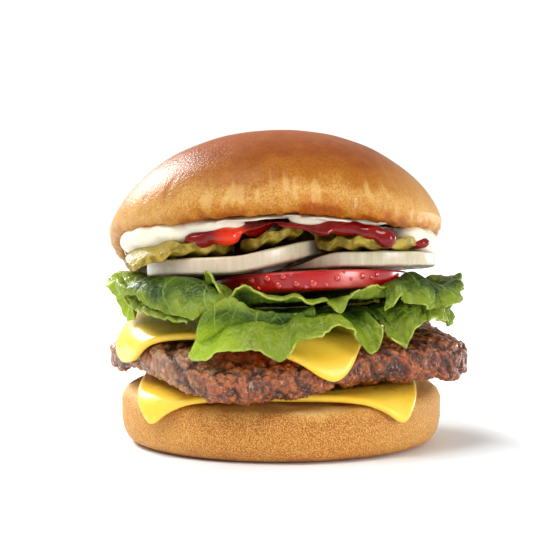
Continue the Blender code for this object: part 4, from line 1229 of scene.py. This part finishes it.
def patty_finish():
    """Seared ground beef: red brown grains, greyer at the left, with painted shade in its creases and
    painted glints.
    """
    meat = Finish("seared_beef")
    crag = meat.marked("crag")
    # Greyer and lighter towards the left, below the top, in random patches
    grey = meat.limited(meat.marked("seared") * 0.7 + (meat.noise(8, 3, 0.6) - 0.56) * 0.9)
    colour = meat.mix(meat.step(0.36, 0.62, meat.noise(2.2, 3, 0.65)), (88, 34, 9), (182, 92, 32))
    colour = meat.mix(grey, colour, (192, 146, 108))
    colour = meat.mix(meat.step(0.56, 0.68, meat.noise(7, 3, 0.6, seed=7.0)) * 0.8, colour, (190, 70, 14))
    colour = meat.mix(meat.step(0.55, 0.7, meat.noise(0.9, 3, 0.7)) * 0.4, colour, (226, 164, 104))
    colour = meat.mix(meat.step(0.45, 0.32, meat.noise(1.2, 3, 0.7, seed=3.0)) * 0.6, colour, (72, 26, 12))
    # Painted shade: where the relief is low, in the crevices, the meat is painted dark brown
    colour = meat.mix(meat.step(0.0, -1.1, crag) * 0.85, colour, (50, 18, 7))
    # Painted glints: tiny pale flecks stand in for highlights on the wet meat
    colour = meat.mix(meat.step(0.62, 0.7, meat.noise(0.6, 2, 0.7, seed=5.0)) * 0.5, colour, (244, 206, 164))
    juicy = meat.step(-24.0, -14.0, meat.along("X")) * meat.step(8.0, -2.0, meat.along("X"))
    juicy = juicy * meat.step(28.0, 32.0, meat.along("Z")) * meat.step(0.3, 0.55, meat.noise(4, 2))
    juicy = juicy * meat.step(-20.0, -32.0, meat.along("Y"))
    colour = meat.mix(juicy * 0.7, colour, (206, 78, 18))
    fine = meat.noise(0.8, 3, 0.7)
    return meat.made(
        Base_Color=colour, Roughness=meat.step(0.42, 0.58, meat.noise(1.4, 3)) * 0.4 + 0.08,
        Normal=meat.bump(fine, 0.8), Specular_IOR_Level=0.45, Coat_Weight=0.35, Coat_Roughness=0.05,
    )


def lettuce_finish():
    """Fresh waxy leaf: mid green, with pale veins and ribs, painted lighter and yellower towards its edge,
    painted darker near its root, and painted light at its lower front left and far left.
    """
    leaf = Finish("fresh_leaf")
    out = leaf.marked("out")
    # Random tone, painted a little darker as shade towards the root, under the heap
    shade = leaf.step(0.32, 0.66, leaf.noise(11, 3, 0.6) + (out - 0.6) * 0.12)
    colour = leaf.mix(shade, (36, 62, 11), (80, 104, 19))
    # Painted light: the outer parts are painted lighter and yellower
    outer = leaf.step(0.6, 1.0, out + (leaf.noise(8, 2) - 0.5) * 0.9)
    colour = leaf.mix(outer * 0.6, colour, (142, 156, 38))
    net = leaf.cells(2.4, "DISTANCE_TO_EDGE")
    colour = leaf.mix(leaf.step(0.06, 0.0, net) * 0.22, colour, (136, 160, 66))
    colour = leaf.mix(leaf.step(0.14, 0.0, leaf.marked("vein")) * 0.22, colour, (150, 170, 80))
    colour = leaf.mix(leaf.step(0.4, 0.1, leaf.marked("rib")) * 0.4, colour, (160, 178, 84))
    # Painted light: the lower front left and the far left lobe are painted a light yellow green
    lit = leaf.step(-8.0, -20.0, leaf.along("X")) * leaf.step(45.0, 38.0, leaf.along("Z"))
    lobe = leaf.step(-43.0, -52.0, leaf.along("X"))
    colour = leaf.mix(leaf.limited(lit * 0.8 + lobe * 0.5), colour, (168, 192, 52))
    edge = leaf.step(0.985, 1.0, out) * leaf.step(0.35, 0.6, leaf.noise(5, 2))
    colour = leaf.mix(edge * 0.7, colour, (190, 198, 92))
    relief = leaf.step(0.0, 0.25, net) * 0.6 + leaf.noise(0.9, 2) * 0.4
    subsurface(leaf, 0.18, (0.4, 1.0, 0.12), 1.2)
    return leaf.made(
        Base_Color=colour, Roughness=leaf.noise(4, 2) * 0.3 + 0.27, Normal=leaf.bump(relief, 0.26),
        Specular_IOR_Level=0.24,
    )


def tomato_finish():
    """Wet red skin round a paler cut face, with a painted sheen on the skin right of its middle."""
    fruit = Finish("tomato_skin")
    reach = fruit.marked("reach")
    skin = fruit.mix(fruit.noise(7, 3), (158, 4, 5), (188, 14, 10))
    flesh = fruit.mix(fruit.step(0.35, 0.7, fruit.noise(6, 3)), (206, 60, 36), (228, 110, 74))
    # Painted sheen: a pale band on the skin right of the middle stands in for a lamp's reflection
    pale = fruit.step(13.0, 20.0, fruit.along("X")) * fruit.step(30.0, 23.0, fruit.along("X"))
    skin = fruit.mix(pale * 0.45, skin, (238, 120, 108))
    colour = fruit.mix(fruit.step(0.955, 0.985, reach), flesh, skin)
    subsurface(fruit, 0.12, (1.0, 0.2, 0.1), 1.2)
    return fruit.made(
        Base_Color=colour, Roughness=fruit.noise(4, 2) * 0.1 + 0.14,
        Normal=fruit.bump(fruit.noise(1.6, 2), 0.05), Specular_IOR_Level=0.45, Coat_Weight=0.3,
        Coat_Roughness=0.08,
    )


def water_finish():
    """Water, red from the skin under it."""
    water = Finish("water")
    shade = water.mix(water.noise(1.0), (178, 12, 12), (210, 44, 36))
    return water.made(
        Base_Color=shade, Roughness=water.noise(0.8) * 0.04 + 0.02,
        Normal=water.bump(water.noise(1.2), 0.02), Specular_IOR_Level=0.6, Coat_Weight=1.0,
        Coat_Roughness=0.01,
    )


def onion_finish():
    """Moist white onion, faintly fibred, with rings on its face."""
    onion = Finish("white_onion")
    fibres = onion.noise(1.3, 2.0, 0.6, stretch=(1.0, 1.0, 0.12))
    colour = onion.mix(onion.step(0.35, 0.75, fibres), (194, 182, 152), (208, 198, 174))
    colour = onion.mix(onion.step(0.4, 0.7, onion.noise(12, 2)) * 0.5, colour, (210, 182, 162))
    ring = onion.maths("PINGPONG", onion.marked("reach"), ONION_RING / 2)
    colour = onion.mix(onion.step(1.8, 2.1, ring) * 0.3, colour, (206, 200, 160))
    subsurface(onion, 0.6, (1.0, 0.8, 0.55), 4.0)
    return onion.made(
        Base_Color=colour, Roughness=onion.noise(3) * 0.15 + 0.18, Normal=onion.bump(fibres, 0.03),
        Specular_IOR_Level=0.5,
    )


def pickle_finish():
    """Brined pickle: golden olive skin with warts and a pale green cut face."""
    pickle = Finish("brined_pickle")
    patch = pickle.noise(3.0, 3, 0.6)
    skin = pickle.mix(pickle.step(0.36, 0.64, patch), (116, 96, 18), (176, 150, 50))
    face = pickle.mix(pickle.noise(2.5, 3), (136, 116, 30), (172, 152, 56))
    colour = pickle.mix(pickle.marked("rim"), face, skin)
    subsurface(pickle, 0.12, (0.8, 0.8, 0.2), 1.2)
    return pickle.made(
        Base_Color=colour, Roughness=pickle.noise(3) * 0.2 + 0.26,
        Normal=pickle.bump(pickle.noise(1.0, 3), 0.3), Specular_IOR_Level=0.3,
    )


def ketchup_finish():
    """Dark glossy red, with painted light on one blob in front, a brighter orange red."""
    sauce = Finish("ketchup_gloss")
    colour = sauce.mix(sauce.noise(5, 2), (92, 1, 1), (146, 5, 3))
    # Painted light: one blob in front is painted a brighter orange red
    colour = sauce.mix(sauce.marked("fresh"), colour, (222, 50, 14))
    return sauce.made(
        Base_Color=colour, Roughness=sauce.noise(3) * 0.05 + 0.05, Normal=sauce.bump(sauce.noise(2.5), 0.08),
        Specular_IOR_Level=0.3, Coat_Weight=0.15, Coat_Roughness=0.02,
    )


def mayonnaise_finish():
    """Glossy cream that lets a little light in."""
    sauce = Finish("mayonnaise_cream")
    colour = sauce.mix(sauce.noise(7, 2), (228, 218, 190), (242, 236, 218))
    subsurface(sauce, 0.4, (1.0, 0.9, 0.7), 2.0)
    return sauce.made(
        Base_Color=colour, Roughness=sauce.noise(3) * 0.1 + 0.22, Normal=sauce.bump(sauce.noise(2.5), 0.1),
        Specular_IOR_Level=0.5,
    )


def aim(obj, target):
    obj.rotation_euler = (Vector(target) - obj.location).to_track_quat("-Z", "Y").to_euler()


def hang_lamp(name, kind, place, target, power):
    """Puts up a lamp and returns its settings."""
    lamp = bpy.data.lights.new(name, kind)
    lamp.energy = power
    obj = bpy.data.objects.new(name, lamp)
    obj.location = place
    aim(obj, target)
    bpy.context.scene.collection.objects.link(obj)
    return lamp


def make_studio():
    """A white table in soft white light, with the main light from the upper left."""
    mesh = bpy.data.meshes.new("table")
    corners = [(x * TABLE_HALF, y * TABLE_HALF, 0) for x, y in ((-1, -1), (1, -1), (1, 1), (-1, 1))]
    mesh.from_pydata(corners, [], [(0, 1, 2, 3)])
    table = bpy.data.objects.new("table", mesh)
    table.location.z = -TABLE_DROP
    bpy.context.scene.collection.objects.link(table)
    paper = Finish("white_paper")
    shade = paper.mix(paper.noise(40, 2), (243, 248, 252), (247, 251, 254))
    mesh.materials.append(paper.made(Base_Color=shade, Roughness=0.9))
    world = bpy.data.worlds.new("studio")
    world.use_nodes = True
    nodes, links = world.node_tree.nodes, world.node_tree.links
    nodes["Background"].inputs["Color"].default_value = (1, 1, 1, 1)
    seen = nodes.new("ShaderNodeLightPath")
    strength = nodes.new("ShaderNodeMapRange")
    strength.inputs["To Min"].default_value = STUDIO_LIGHT
    strength.inputs["To Max"].default_value = STUDIO_SEEN
    links.new(seen.outputs["Is Camera Ray"], strength.inputs["Value"])
    links.new(strength.outputs["Result"], nodes["Background"].inputs["Strength"])
    bpy.context.scene.world = world
    hang_lamp("main_light", "SUN", SUN_PLACE, (0, 0, 0), SUN_POWER).angle = math.radians(SUN_WIDTH)
    for name, (place, target, size, power) in WINDOWS.items():
        lamp = hang_lamp(name, "AREA", place, target, power)
        lamp.shape = "RECTANGLE"
        lamp.size, lamp.size_y = size


def make_camera():
    lens = bpy.data.cameras.new("camera")
    lens.lens = CAMERA_LENS
    lens.sensor_width = CAMERA_SENSOR
    obj = bpy.data.objects.new("camera", lens)
    obj.location = CAMERA_PLACE
    obj.rotation_euler = (math.radians(90) - math.atan2(CAMERA_DROP, -CAMERA_PLACE[1]), 0, 0)
    bpy.context.scene.collection.objects.link(obj)
    bpy.context.scene.camera = obj


def make_burger():
    make_heel()
    lower = (LOWER_CHEESE_CENTRE, LOWER_CHEESE_TURN, over_heel, 71)
    upper = (UPPER_CHEESE_CENTRE, UPPER_CHEESE_TURN, over_patty, 73)
    make_patty([
        make_cheese("cheese_slice_lower", "cheese_lower", *lower),
        make_cheese("cheese_slice_upper", "cheese_upper", *upper),
    ])
    for name in LEAVES:
        make_leaf(name)
    make_tomato()
    make_drops()
    right = (ONION_RIGHT_CENTRE, ONION_RIGHT_RADIUS, onion_right_bottom, onion_right_top, 81)
    left = (ONION_LEFT_CENTRE, ONION_LEFT_RADIUS, onion_left_bottom, onion_left_top, 83)
    make_onion("onion_slice_right", "onion_right", *right)
    make_onion("onion_slice_left", "onion_left", *left)
    for number, name in enumerate(PICKLES):
        make_pickle(name, 90 + 7 * number)
    ketchup = (ketchup_radius, ketchup_bottom, ketchup_top, KETCHUP_BLOBS, ketchup_finish())
    mayonnaise = (mayo_radius, mayo_bottom, mayo_top, MAYO_BLOBS, mayonnaise_finish())
    make_sauce("ketchup_layer", "ketchup", *ketchup)
    make_sauce("mayonnaise_layer", "mayonnaise", *mayonnaise)
    make_crown()


bpy.context.scene.view_settings.view_transform = "Standard"
make_burger()
make_studio()
make_camera()
